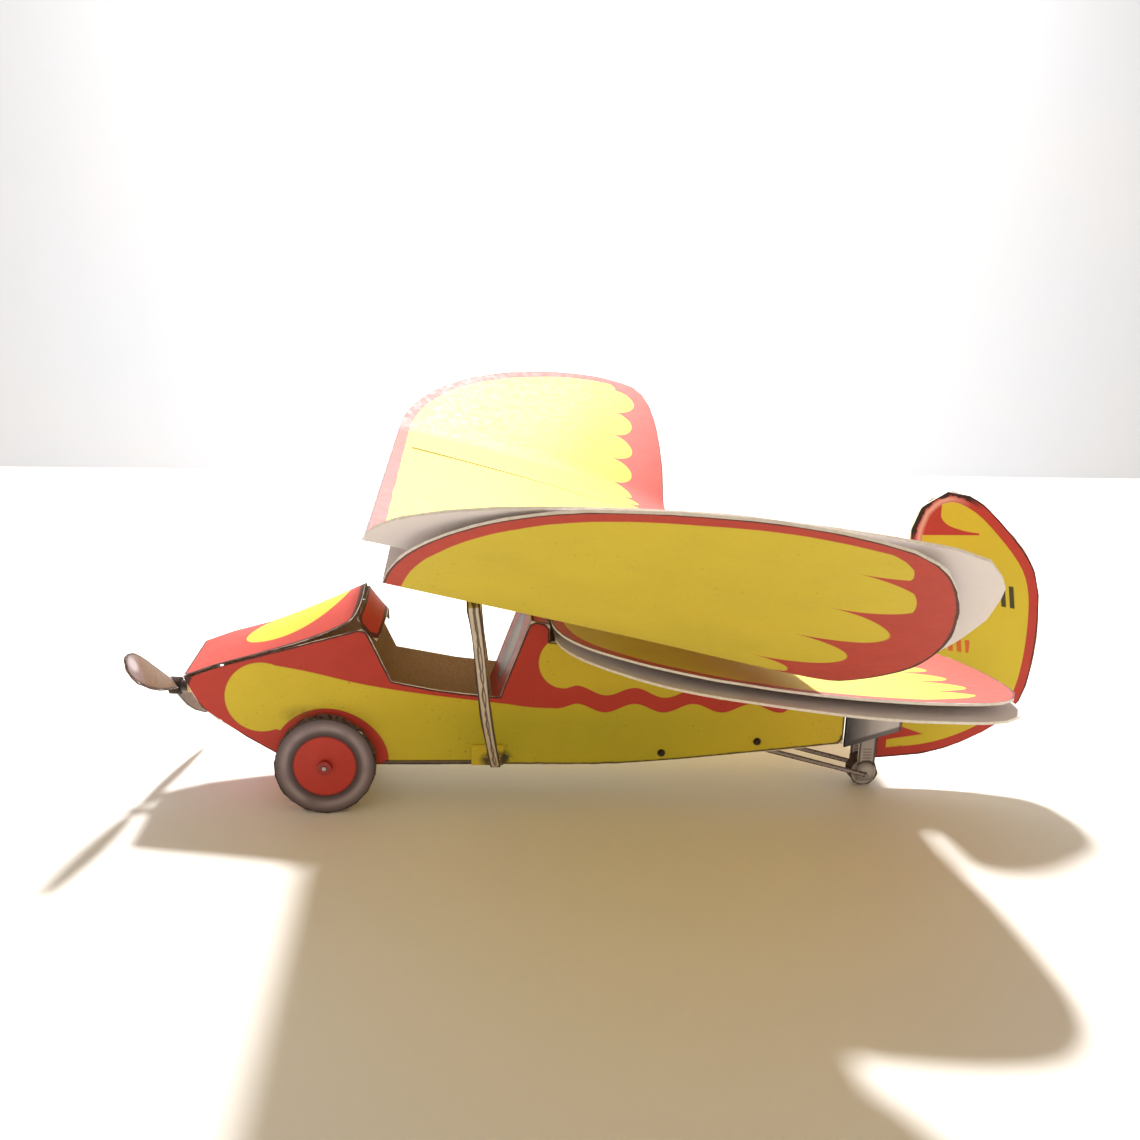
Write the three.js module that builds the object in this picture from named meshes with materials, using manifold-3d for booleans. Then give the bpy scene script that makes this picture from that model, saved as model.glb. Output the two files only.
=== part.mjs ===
// Card model aeroplane with two wings in tandem, driven by a rubber band.
// Millimetres, +X to the nose, +Y to port, +Z up. The wheels stand on Z = 0.
import * as THREE from "three";
import { mergeVertices } from "three/addons/utils/BufferGeometryUtils.js";
import Module from "manifold-3d";

// ---- Driving dimensions ----
const DATUM_X = 81.0;          // X of the point that every "aft" is measured from
const HUB_AHEAD = 1.0;         // propeller hub ahead of that point
const CARD = 0.4;              // thickness of every card piece
const FIT = 0.12;              // space between two card faces that meet
const BORE_PLAY = 0.08;        // space round a pin or wire in a piece that turns on it
const BODY_WIDTH = 21.4;       // over both fuselage sides
const THRUST_Z = 20.5;         // height of the propeller hub
const SIDE_THRUST = THREE.MathUtils.degToRad(8);
const PROP_RADIUS = 26;
const PROP_REST = THREE.MathUtils.degToRad(27);
const WIRE_R = 0.4;            // propeller shaft and hook
const AXLE_R = 0.4;
const PIN_R = 0.5;
const BEARING_R = 1.2;
const RUBBER_R = 0.4;
const RUBBER_LOOP_R = 1.0;     // bend of the band round the hook and the peg
const WHEEL_R = 9.5;
const WHEEL_AFT = 28.7;
const TAIL_WHEEL_R = 2.9;
const TAIL_WHEEL_AFT = 135.0;
const BELLY_Z = 8.6;
const NOSE_AFT = 2.9;
const NOSE_TOP_Z = 25.8;
const KNEE = { aft: 8.6, z: 27.9 };         // bend in the top edge of the nose
const CHIN = { aft: 9, z: 17.2 };           // where the nose plate ends
const KEEL = { aft: 18, z: 11.6 };          // where the belly begins to curve
const COCKPIT_FRONT = 41;
const COCKPIT_BACK = 61.2;
const SILL_Z = 22.1;           // height of the cockpit's rear corner
const CREST_AFT = 35.6;        // rear end of the nose deck
const CREST_Z = 35.2;
const HUMP_AFT = 66.7;
const HUMP_Z = 37;
const SEAT_STEP_AFT = 70.2;    // rear end of the hump, where the rear wing begins
const SEAT_STEP_Z = 36.2;
const SIDES_END = 127;
const KEEL_END_Z = 12.8;
const TAIL_END = 138.3;
const CHEEK_END = 141.4;       // the cheeks close over the front of the rudder
const RUDDER_AFT = 140.3;
const PEG_AFT = 110.4;
const PEG_Z = 13.2;
const BELLY_PIN_AFT = 92.1;
const BELLY_PIN_Z = 10.9;

const HUB_X = DATUM_X + HUB_AHEAD;
const HALF = BODY_WIDTH / 2;
const SIDE_Y = HALF - CARD / 2;             // middle of a fuselage side's card
const INNER_HALF = HALF - CARD - FIT;       // half width of what fits between the sides

// Both wings: a lower and an upper sheet, flat between two creases and bent up outside them.
// The sheets are cut by hand and a little askew: skew turns the trailing edge, and the bulges
// push it back towards the port and the starboard tip. Swell rounds it between the port crease
// and tip, and peel is how far the upper sheet's port corner stands off the lower sheet.
const FRONT_WING = {
  leadAft: 42.2, leadZ: 56.7, incidence: 12.7, crease: 59.6, dihedral: 36,
  lower: { start: 0, end: 63.5, tip: 46.2, skew: 0, port: 5, starboard: 0, swell: 8 },
  upper: {
    start: -4, end: 64.2, tip: 42.5, skew: 0.038, port: 12, starboard: 1, swell: 3, peel: 4.5,
    lead: 5.2, trail: 1.0, camber: 6, tipLift: 0.7,
  },
  spar: 24, sparHalf: 55,
};
const REAR_WING = {
  leadAft: 71.4, leadZ: 33.35, incidence: 1.9, crease: 10.7, dihedral: 6,
  lower: { start: 0, end: 66, tip: 51, skew: 0, port: 9, starboard: 4 },
  upper: {
    start: -0.9, end: 67.6, tip: 49.5, skew: 0, port: 6, starboard: 3,
    lead: 2.6, trail: 1.2, camber: 5, tipLift: 2.4,
  },
  spar: 20, sparHalf: 9.5,
};
const TIP_WIDEST = 0.74;       // where along the chord a wing tip is widest
const EDGE_TRIM = 0.004;       // share of the chord left off at each edge
const EDGE_CROWDING = 0.09;    // how far the rows of points crowd to both edges

const wasm = await Module();
wasm.setup();

// ---- Materials ----
const paint = (color, roughness = 0.6, metalness = 0) =>
  new THREE.MeshStandardMaterial({ color, roughness, metalness });
const YELLOW = paint(0xd8bd48);
const RED = paint(0xb23c2c);
const KRAFT = paint(0xd2c3af, 0.85);
const GREY = paint(0x55504e);
const WIRE = paint(0xb8bcc0, 0.35, 0.9);
const BRASS = paint(0xc9a24e, 0.4, 0.9);
const BEAD = paint(0x8c2f25, 0.4);
const WOOD = paint(0xb98d58, 0.7);
const BAND = paint(0xb0793c, 0.75);

// ---- Helpers ----
const model = new THREE.Group();

const x = (aft) => DATUM_X - aft;

function add(name, geometry, material, parent = model) {
  const mesh = new THREE.Mesh(geometry, material);
  mesh.name = name;
  parent.add(mesh);
  return mesh;
}

function toManifold(geometry) {
  const plain = geometry.clone();
  plain.deleteAttribute("normal");
  plain.deleteAttribute("uv");
  const merged = mergeVertices(plain, 1e-4);
  return new wasm.Manifold(new wasm.Mesh({
    numProp: 3,
    vertProperties: new Float32Array(merged.attributes.position.array),
    triVerts: new Uint32Array(merged.index.array),
  }));
}

function fromManifold(solid) {
  const mesh = solid.getMesh();
  const geometry = new THREE.BufferGeometry();
  geometry.setAttribute("position", new THREE.BufferAttribute(mesh.vertProperties, 3));
  geometry.setIndex(new THREE.BufferAttribute(mesh.triVerts, 1));
  geometry.computeVertexNormals();
  return geometry;
}

function cut(geometry, ...tools) {
  let solid = toManifold(geometry);
  for (const tool of tools) solid = solid.subtract(toManifold(tool));
  return fromManifold(solid);
}

// Shape drawn in X and Z, made into a plate whose middle is at y.
function plate(shape, thickness, y, curveSegments = 12) {
  const geometry = new THREE.ExtrudeGeometry(shape, {
    depth: thickness, bevelEnabled: false, curveSegments,
  });
  geometry.rotateX(Math.PI / 2);
  geometry.translate(0, y + thickness / 2, 0);
  return geometry;
}

// Shape drawn in Y and Z, drawn out along X from xStart by width.
function bar(shape, width, xStart) {
  const geometry = new THREE.ExtrudeGeometry(shape, { depth: width, bevelEnabled: false });
  const basis = new THREE.Matrix4().makeBasis(
    new THREE.Vector3(0, 1, 0),
    new THREE.Vector3(0, 0, 1),
    new THREE.Vector3(1, 0, 0),
  );
  geometry.applyMatrix4(basis);
  geometry.translate(xStart, 0, 0);
  return geometry;
}

// Outline of a strip of card seen edge on, to the left of the line through the points.
function strip(points, thickness) {
  const side = points.map((point, i) => {
    const before = points[Math.max(i - 1, 0)];
    const after = points[Math.min(i + 1, points.length - 1)];
    const into = point.clone().sub(before).normalize();
    const out = after.clone().sub(point).normalize();
    if (i === 0) into.copy(out);
    if (i === points.length - 1) out.copy(into);
    const mean = into.clone().add(out).normalize();
    const normal = new THREE.Vector2(-mean.y, mean.x);
    return point.clone().addScaledVector(normal, thickness / mean.dot(out));
  });
  return new THREE.Shape([...points, ...side.reverse()]);
}

// Card sheet over a grid: surface(u, v) gives its top face and down points through the card.
function sheet(uCount, vCount, surface, down) {
  const top = [];
  for (let i = 0; i <= uCount; i += 1) {
    for (let j = 0; j <= vCount; j += 1) top.push(surface(i / uCount, j / vCount));
  }
  const points = [...top, ...top.map((point) => point.clone().add(down))];
  const below = top.length;
  const at = (i, j) => i * (vCount + 1) + j;
  const faces = [];
  const quad = (a, b, c, d) => faces.push(a, b, c, a, c, d);
  for (let i = 0; i < uCount; i += 1) {
    for (let j = 0; j < vCount; j += 1) {
      const corners = [at(i, j), at(i, j + 1), at(i + 1, j + 1), at(i + 1, j)];
      quad(...corners);
      quad(...corners.map((corner) => corner + below).reverse());
    }
  }
  const rim = [];
  for (let i = 0; i < uCount; i += 1) rim.push(at(i, 0));
  for (let j = 0; j < vCount; j += 1) rim.push(at(uCount, j));
  for (let i = uCount; i > 0; i -= 1) rim.push(at(i, vCount));
  for (let j = vCount; j > 0; j -= 1) rim.push(at(0, j));
  rim.forEach((a, k) => {
    const b = rim[(k + 1) % rim.length];
    quad(a, b, b + below, a + below);
  });
  const geometry = new THREE.BufferGeometry().setFromPoints(points);
  geometry.setIndex(faces);
  geometry.computeVertexNormals();
  return geometry;
}

// Turned piece along Y between two values of y.
function turned(radius, yLow, yHigh, sides = 24) {
  const geometry = new THREE.CylinderGeometry(radius, radius, yHigh - yLow, sides);
  geometry.translate(0, (yLow + yHigh) / 2, 0);
  return geometry;
}

// Ring along Y between two values of y, with a bore.
function ring(bore, radius, yLow, yHigh, sides = 24) {
  const profile = [
    new THREE.Vector2(bore, yLow),
    new THREE.Vector2(radius, yLow),
    new THREE.Vector2(radius, yHigh),
    new THREE.Vector2(bore, yHigh),
    new THREE.Vector2(bore, yLow),
  ];
  return new THREE.LatheGeometry(profile, sides);
}

// ---- Fuselage ----
function bellyLine(path) {
  path.quadraticCurveTo(x(22.5), BELLY_Z, x(31), BELLY_Z);
  path.lineTo(x(76), BELLY_Z);
  path.quadraticCurveTo(x(85), BELLY_Z, x(98), 9.8);
  path.lineTo(x(SIDES_END), KEEL_END_Z);
  return path;
}

function chinLine(path) {
  path.quadraticCurveTo(x(4.4), 20.6, x(CHIN.aft), CHIN.z);
  return path;
}

function drillSide(geometry, y) {
  const holes = [
    [WHEEL_AFT, WHEEL_R, AXLE_R],
    [PEG_AFT, PEG_Z, PIN_R],
    [BELLY_PIN_AFT, BELLY_PIN_Z, PIN_R],
  ];
  const drills = holes.map(([aft, z, radius]) => {
    const drill = turned(radius + FIT, y - 2, y + 2, 16);
    return drill.translate(x(aft), 0, z);
  });
  return cut(geometry, ...drills);
}

function fuselageSide(y) {
  const shape = new THREE.Shape();
  shape.moveTo(x(NOSE_AFT), NOSE_TOP_Z);
  chinLine(shape);
  shape.lineTo(x(KEEL.aft), KEEL.z);
  bellyLine(shape);
  shape.lineTo(x(SIDES_END), 31.05);
  shape.lineTo(x(SEAT_STEP_AFT), 32.9);
  shape.lineTo(x(SEAT_STEP_AFT), SEAT_STEP_Z);
  shape.lineTo(x(HUMP_AFT), HUMP_Z);
  shape.lineTo(x(COCKPIT_BACK), SILL_Z);
  shape.quadraticCurveTo(x(50), 22.9, x(COCKPIT_FRONT), 25.2);
  shape.quadraticCurveTo(x(38.5), 30.4, x(36.6), 34.4);
  shape.lineTo(x(CREST_AFT), CREST_Z);
  shape.lineTo(x(KNEE.aft), KNEE.z);
  return drillSide(plate(shape, CARD, y, 8), y);
}

function bellyStrip() {
  const path = new THREE.Path();
  path.moveTo(x(CHIN.aft + 0.4), CHIN.z - 0.2);
  path.lineTo(x(KEEL.aft), KEEL.z);
  bellyLine(path);
  return plate(strip(path.getPoints(8), -CARD), 2 * INNER_HALF, 0);
}

function nosePlate() {
  const path = new THREE.Path();
  path.moveTo(x(NOSE_AFT + 0.1), NOSE_TOP_Z - 0.2);
  chinLine(path);
  const solid = plate(strip(path.getPoints(8), -CARD), 2 * INNER_HALF, 0);
  const hole = new THREE.CylinderGeometry(BEARING_R + FIT, BEARING_R + FIT, 14, 20);
  hole.rotateZ(Math.PI / 2);
  hole.translate(-5, 0, 0);
  hole.rotateZ(-SIDE_THRUST);
  hole.translate(HUB_X, 0, THRUST_Z);
  return cut(solid, hole);
}

// Height of the top edge of a fuselage side along the nose.
function noseEdgeZ(aft) {
  const { mapLinear } = THREE.MathUtils;
  if (aft < KNEE.aft) return mapLinear(aft, NOSE_AFT, KNEE.aft, NOSE_TOP_Z, KNEE.z);
  return mapLinear(aft, KNEE.aft, CREST_AFT, KNEE.z, CREST_Z);
}

const DECK_RISE = 5.3;         // how far the deck stands above the sides at its rear end

function deckPoint(aft, across) {
  const along = (aft - NOSE_AFT) / (CREST_AFT - NOSE_AFT);
  const rise = DECK_RISE * along ** 1.3;
  const lift = noseEdgeZ(aft) + FIT + CARD;
  return new THREE.Vector3(x(aft), across * HALF, lift + rise * (1 - across ** 2));
}

function noseDeck() {
  const surface = (u, v) => deckPoint(THREE.MathUtils.lerp(NOSE_AFT, CREST_AFT, u), 2 * v - 1);
  return sheet(12, 14, surface, new THREE.Vector3(0, 0, -CARD));
}

// Flap that hangs from the rear end of the deck, inside the cockpit.
function coamingFlap() {
  const widthShare = 0.94;
  const taper = 0.06;
  const drop = { start: 0.25, run: 4.4 };
  const back = { start: 0.45, run: 3.1 };
  const surface = (u, v) => {
    const edge = deckPoint(CREST_AFT, (2 * v - 1) * widthShare);
    return new THREE.Vector3(
      edge.x - back.start - back.run * u,
      edge.y * (1 - taper * u),
      edge.z - drop.start - drop.run * u,
    );
  };
  return sheet(3, 12, surface, new THREE.Vector3(0.3, 0, -CARD));
}

function seatBack() {
  const lean = (HUMP_AFT - COCKPIT_BACK) / (HUMP_Z - SILL_Z);
  const line = [SILL_Z - 3.2, HUMP_Z - 0.3].map((z) => (
    new THREE.Vector2(x(COCKPIT_BACK + lean * (z - SILL_Z)), z)
  ));
  return plate(strip(line, CARD), 2 * INNER_HALF, 0);
}

function humpDeck() {
  const line = [
    new THREE.Vector2(x(HUMP_AFT + 0.7), HUMP_Z - 0.2),
    new THREE.Vector2(x(SEAT_STEP_AFT), SEAT_STEP_Z),
  ];
  return plate(strip(line, CARD), 2 * INNER_HALF, 0);
}

const TAIL_Z = 12.0;
const TAIL_HEIGHT = 18.8;
const POST = { length: 0.8, width: 7.4, z: 13.3, height: 17.2 };

// Cheek that carries a side inwards, past the tail post.
function tailCheek(side) {
  const start = new THREE.Vector2(x(SIDES_END + 0.45), side * HALF);
  const end = new THREE.Vector2(x(CHEEK_END), side * 2.3);
  const geometry = new THREE.ExtrudeGeometry(strip([start, end], side * CARD), {
    depth: TAIL_HEIGHT, bevelEnabled: false,
  });
  return geometry.translate(0, 0, TAIL_Z);
}

function tailPost() {
  const geometry = new THREE.BoxGeometry(POST.length, POST.width, POST.height);
  return geometry.translate(x(TAIL_END - 0.6), 0, POST.z + POST.height / 2);
}

// ---- Wings ----
function tipReach(t) {
  if (t < TIP_WIDEST) return Math.sqrt(1 - ((TIP_WIDEST - t) / TIP_WIDEST) ** 1.8);
  return Math.sqrt(1 - ((t - TIP_WIDEST) / (1 - TIP_WIDEST)) ** 4);
}

// Turns a point of a wing, given along the chord, across and above its chord line.
function wingPoint(wing, chord, y, height) {
  const angle = THREE.MathUtils.degToRad(wing.incidence);
  const aft = wing.leadAft + chord * Math.cos(angle) + height * Math.sin(angle);
  const z = wing.leadZ - chord * Math.sin(angle) + height * Math.cos(angle);
  return new THREE.Vector3(x(aft), y, z);
}

// Height of a wing sheet above the chord line at part t of its chord.
function sheetHeight(part, t, outward) {
  if (part.lead === undefined) return 0;
  const root = part.trail + (part.lead - part.trail) * (1 - t) + part.camber * t * (1 - t);
  return THREE.MathUtils.lerp(part.tipLift, root, (1 - outward) ** 1.4);
}

function wingSheet(wing, part) {
  const bend = THREE.MathUtils.degToRad(wing.dihedral);
  const tipRows = 7;
  const centreRows = 2;
  const rows = 2 * tipRows + centreRows;
  const surface = (u, v) => {
    const t = EDGE_TRIM + (1 - 2 * EDGE_TRIM) * (u - EDGE_CROWDING * Math.sin(2 * Math.PI * u));
    const chord = THREE.MathUtils.lerp(part.start, part.end, t);
    const row = v * rows;
    const side = row < rows / 2 ? -1 : 1;
    const out = Math.abs(row - rows / 2) - centreRows / 2;
    if (out <= 0) {
      const y = (row - rows / 2) / (centreRows / 2) * wing.crease;
      return wingPoint(wing, chord + t ** 3 * part.skew * y, y, sheetHeight(part, t, 0) + CARD / 2);
    }
    const reach = part.tip * tipReach(t) * out / tipRows;
    const outward = reach / part.tip;
    const swell = side > 0 ? (part.swell ?? 0) * Math.sin(Math.PI * outward ** 0.7) : 0;
    const bulge = (side > 0 ? part.port : part.starboard) * outward + swell;
    const push = t ** 3 * (part.skew * side * (wing.crease + reach) + bulge);
    const peel = side > 0 ? (part.peel ?? 0) * t ** 3 * outward ** 2 : 0;
    const height = sheetHeight(part, t, outward) + peel + reach * Math.sin(bend) + CARD / 2;
    return wingPoint(wing, chord + push, side * (wing.crease + reach * Math.cos(bend)), height);
  };
  const angle = THREE.MathUtils.degToRad(wing.incidence);
  const down = new THREE.Vector3(Math.sin(angle), 0, -Math.cos(angle)).multiplyScalar(CARD);
  return sheet(20, rows, surface, down);
}

function wingSpar(wing) {
  const part = wing.upper;
  const gap = 0.15;
  const t = (wing.spar - part.start) / (part.end - part.start);
  const height = sheetHeight(part, t, 0) - CARD - 0.5;
  const geometry = new THREE.BoxGeometry(1.2, 2 * wing.sparHalf, height);
  geometry.rotateY(THREE.MathUtils.degToRad(-wing.incidence));
  const middle = wingPoint(wing, wing.spar, 0, CARD / 2 + gap + height / 2);
  return geometry.translate(middle.x, 0, middle.z);
}

// Folded card post from the hump up to the underside of the front wing.
function wingPylon() {
  const front = HUMP_AFT + 0.2;
  const back = SEAT_STEP_AFT - 0.1;
  const foot = HUMP_Z + 0.5;
  const inside = 7;
  const under = (aft) => {
    const slope = Math.tan(THREE.MathUtils.degToRad(FRONT_WING.incidence));
    return FRONT_WING.leadZ - slope * (aft - FRONT_WING.leadAft) - CARD / 2 - 0.3;
  };
  const shape = new THREE.Shape([
    new THREE.Vector2(x(front), foot),
    new THREE.Vector2(x(front), under(front)),
    new THREE.Vector2(x(back), under(back)),
    new THREE.Vector2(x(back), foot),
  ]);
  const core = new THREE.BoxGeometry(back - front, inside, 2 * (FRONT_WING.leadZ - foot));
  core.translate(x(back) + (back - front) / 2 - CARD, 0, foot);
  return cut(plate(shape, inside + 2 * CARD, 0), core);
}

// ---- Lift struts ----
const STRUT_WIDTH = 2.6;
const STRUT_CARD = 0.7;
const STRUT_TAB = 6;           // length turned in under the wing
const STRUT_FOOT = { aft: 60.5, z: 8.9 };
const STRUT_TOP = { aft: 54.8, z: 52.8 };

function wingStrut(side) {
  const line = [
    new THREE.Vector2(side * (HALF + 1.05), STRUT_FOOT.z),
    new THREE.Vector2(side * (FRONT_WING.crease - 0.4), STRUT_TOP.z),
    new THREE.Vector2(side * (FRONT_WING.crease - STRUT_TAB), STRUT_TOP.z),
  ];
  const start = x(STRUT_FOOT.aft) - STRUT_WIDTH / 2;
  const geometry = bar(strip(line, side * STRUT_CARD), STRUT_WIDTH, start);
  const lean = (STRUT_FOOT.aft - STRUT_TOP.aft) / (STRUT_TOP.z - STRUT_FOOT.z);
  const shear = new THREE.Matrix4().set(
    1, 0, lean, -lean * STRUT_FOOT.z,
    0, 1, 0, 0,
    0, 0, 1, 0,
    0, 0, 0, 1,
  );
  return geometry.applyMatrix4(shear);
}

function strutFoot(side) {
  const thickness = 0.3;
  const geometry = new THREE.BoxGeometry(6, thickness, 4);
  return geometry.translate(x(59), side * (HALF + FIT + thickness / 2), 10.6);
}

// ---- Main wheels ----
const WHEEL_FACES = { inner: 11.5, outer: 13.3, hubRadius: 2.2 };

function wheelRing(radius, low, high, side, sides) {
  const near = Math.min(side * low, side * high);
  const far = Math.max(side * low, side * high);
  const geometry = ring(AXLE_R + BORE_PLAY, radius, near, far, sides);
  return geometry.translate(x(WHEEL_AFT), 0, WHEEL_R);
}

function addMainWheel(name, side) {
  const { inner, outer, hubRadius } = WHEEL_FACES;
  const cap = { gap: 0.15, radius: 1.3, length: 0.9 };
  const gap = 0.1;
  const disc = (low) => wheelRing(WHEEL_R, low, low + CARD, side, 56);
  add(`wheel_${name}_inner_disc`, disc(inner), GREY);
  add(`wheel_${name}_outer_disc`, disc(outer), GREY);
  const hub = wheelRing(hubRadius, inner + CARD + gap, outer - gap, side, 24);
  add(`wheel_${name}_hub`, hub, KRAFT);
  const capStart = outer + CARD + cap.gap;
  const capEnd = capStart + cap.length;
  add(`axle_cap_${name}`, wheelRing(cap.radius, capStart, capEnd, side, 16), BEAD);
}

// ---- Propeller, shaft and rubber band ----
const BLADE_ROOT = 1.9;
const HUB_RADIUS = 1.7;
const BEAD_RADIUS = 1.1;
const HOOK_AFT = 12;           // middle of the hook's loop behind the hub, along the shaft
const HOOK_R = 1.5;

function propellerBlade() {
  const pitchRoot = THREE.MathUtils.degToRad(42);
  const pitchTip = THREE.MathUtils.degToRad(18);
  const surface = (u, v) => {
    const radius = THREE.MathUtils.lerp(BLADE_ROOT, PROP_RADIUS, u);
    const width = (2.4 + 4.2 * Math.sin(0.78 * Math.PI * u)) * Math.sqrt(1 - (0.985 * u) ** 10);
    const pitch = THREE.MathUtils.lerp(pitchRoot, pitchTip, u);
    const across = (0.5 - v) * width;
    return new THREE.Vector3(across * Math.sin(pitch), radius, across * Math.cos(pitch));
  };
  const mean = (pitchRoot + pitchTip) / 2;
  const down = new THREE.Vector3(-Math.cos(mean), 0, Math.sin(mean)).multiplyScalar(CARD);
  return sheet(14, 4, surface, down);
}

// Ring along local X, for the pieces that sit on the propeller shaft.
function shaftRing(bore, radius, low, high, sides) {
  return ring(bore, radius, low, high, sides).rotateZ(-Math.PI / 2);
}

function propellerShaft() {
  const points = [1.7, -3, -7, -9.2].map((along) => new THREE.Vector3(along, 0, 0));
  for (let step = 0; step <= 9; step += 1) {
    const turn = step / 9 * THREE.MathUtils.degToRad(300);
    points.push(new THREE.Vector3(
      -HOOK_AFT + HOOK_R * Math.cos(turn),
      HOOK_R * Math.sin(turn),
      0,
    ));
  }
  const section = new THREE.Shape().absarc(0, 0, WIRE_R, 0, 2 * Math.PI);
  return new THREE.ExtrudeGeometry(section, {
    steps: 60,
    curveSegments: 4,
    extrudePath: new THREE.CatmullRomCurve3(points),
  });
}

function rubberBand() {
  const hookRear = HOOK_AFT + HOOK_R;
  const front = new THREE.Vector3(
    HUB_X - hookRear * Math.cos(SIDE_THRUST) - 0.15,
    hookRear * Math.sin(SIDE_THRUST),
    THRUST_Z,
  );
  const rear = new THREE.Vector3(x(PEG_AFT - 0.05), 0, PEG_Z);
  const back = rear.clone().sub(front).normalize();
  const level = back.clone().cross(new THREE.Vector3(0, 0, 1)).normalize();
  const up = level.clone().cross(back);
  const geometry = new THREE.TorusGeometry(RUBBER_LOOP_R, RUBBER_R, 8, 24);
  const position = geometry.attributes.position;
  for (let i = 0; i < position.count; i += 1) {
    const end = position.getX(i) < 1e-6 ? front : rear;
    const point = end.clone();
    point.addScaledVector(back, position.getX(i));
    point.addScaledVector(up, position.getY(i));
    point.addScaledVector(level, position.getZ(i));
    position.setXYZ(i, point.x, point.y, point.z);
  }
  return geometry;
}

function addPropeller() {
  const propeller = new THREE.Group();
  propeller.position.set(HUB_X, 0, THRUST_Z);
  propeller.rotation.z = -SIDE_THRUST;
  model.add(propeller);
  ["a", "b"].forEach((letter, index) => {
    const blade = propellerBlade().rotateX(PROP_REST + index * Math.PI);
    add(`propeller_blade_${letter}`, blade, WOOD, propeller);
  });
  const bore = WIRE_R + BORE_PLAY;
  add("propeller_hub", shaftRing(bore, HUB_RADIUS, -1, 1, 24), KRAFT, propeller);
  add("thrust_bead", shaftRing(bore, BEAD_RADIUS, -2.4, -1.2, 16), BEAD, propeller);
  add("propeller_shaft", propellerShaft(), WIRE, propeller);
  add("nose_bearing", shaftRing(bore, BEARING_R, -9, -2.6, 20), BRASS, propeller);
}

// ---- Tail ----
const FORK = { half: 2.2, width: 3.4, low: 1.5, high: 12.7 };

function tailFork() {
  const line = [
    new THREE.Vector2(-FORK.half, FORK.low),
    new THREE.Vector2(-FORK.half, FORK.high),
    new THREE.Vector2(FORK.half, FORK.high),
    new THREE.Vector2(FORK.half, FORK.low),
  ];
  const fork = bar(strip(line, CARD), FORK.width, x(TAIL_WHEEL_AFT + FORK.width / 2));
  const drill = turned(AXLE_R + 0.05, -5, 5, 16).translate(x(TAIL_WHEEL_AFT), 0, TAIL_WHEEL_R);
  return cut(fork, drill);
}

function tailArm(y) {
  const eye = 0.95;
  const front = x(103.5);
  const under = 9.0;
  const shape = new THREE.Shape();
  shape.moveTo(front, 9.9);
  shape.lineTo(x(110.6), 9.9);
  shape.absarc(x(TAIL_WHEEL_AFT), TAIL_WHEEL_R, eye, 1.3, 4.4, false);
  shape.lineTo(x(110), under);
  shape.lineTo(front, under);
  const hole = new THREE.Path();
  hole.absarc(x(TAIL_WHEEL_AFT), TAIL_WHEEL_R, AXLE_R + 0.05, 0, 2 * Math.PI, true);
  shape.holes.push(hole);
  return plate(shape, CARD, y, 10);
}

function tailWheelRing(radius, low, high) {
  const geometry = ring(AXLE_R + BORE_PLAY, radius, low, high, 32);
  return geometry.translate(x(TAIL_WHEEL_AFT), 0, TAIL_WHEEL_R);
}

function rudderSkin(y) {
  const edge = [
    [151.9, 7.6], [159.5, 10.9], [164.4, 16.8], [166.7, 27], [166.4, 37], [164.2, 45.5],
    [158.5, 52.8], [152.6, 58.1], [148, 60], [143.9, 58.4], [141.2, 55.3],
  ];
  const shape = new THREE.Shape();
  shape.moveTo(x(RUDDER_AFT), 12.2);
  shape.lineTo(x(137.4), 11.2);
  shape.lineTo(x(137.2), 5.5);
  shape.splineThru(edge.map(([aft, z]) => new THREE.Vector2(x(aft), z)));
  shape.lineTo(x(RUDDER_AFT), 52.6);
  return plate(shape, CARD, y, 6);
}

function rudderTab() {
  const tab = { length: 1.2, width: 0.9, height: 15 };
  const geometry = new THREE.BoxGeometry(tab.length, tab.width, tab.height);
  return geometry.translate(x((TAIL_END + RUDDER_AFT) / 2 - 0.25), 0, 22.5);
}

// ---- Assembly ----
const PIN_HALF = 11.3;
const AXLE_HALF = 14.9;
const TAIL_AXLE_HALF = 3.6;
const TAIL_ARM_Y = 3.1;
const TAIL_DISC_START = 1.1;

for (const [name, side] of [["left", 1], ["right", -1]]) {
  add(`fuselage_side_${name}`, fuselageSide(side * SIDE_Y), YELLOW);
  add(`tail_cheek_${name}`, tailCheek(side), GREY);
  add(`wing_strut_${name}`, wingStrut(side), KRAFT);
  add(`strut_foot_${name}`, strutFoot(side), KRAFT);
  addMainWheel(name, side);
  add(`tail_arm_${name}`, tailArm(side * TAIL_ARM_Y), GREY);
  const discStart = side > 0 ? TAIL_DISC_START : -TAIL_DISC_START - CARD;
  add(`tail_wheel_${name}_disc`, tailWheelRing(TAIL_WHEEL_R, discStart, discStart + CARD), GREY);
  add(`rudder_skin_${name}`, rudderSkin(side * (CARD + 0.14) / 2), YELLOW);
}
add("belly_strip", bellyStrip(), YELLOW);
add("nose_plate", nosePlate(), GREY);
add("nose_deck", noseDeck(), YELLOW);
add("coaming_flap", coamingFlap(), RED);
add("seat_back", seatBack(), RED);
add("hump_deck", humpDeck(), RED);
add("tail_post", tailPost(), GREY);
add("wing_pylon", wingPylon(), KRAFT);

for (const [name, wing] of [["front", FRONT_WING], ["rear", REAR_WING]]) {
  add(`${name}_wing_lower_sheet`, wingSheet(wing, wing.lower), RED);
  add(`${name}_wing_upper_sheet`, wingSheet(wing, wing.upper), YELLOW);
  add(`${name}_wing_spar`, wingSpar(wing), KRAFT);
}

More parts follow.
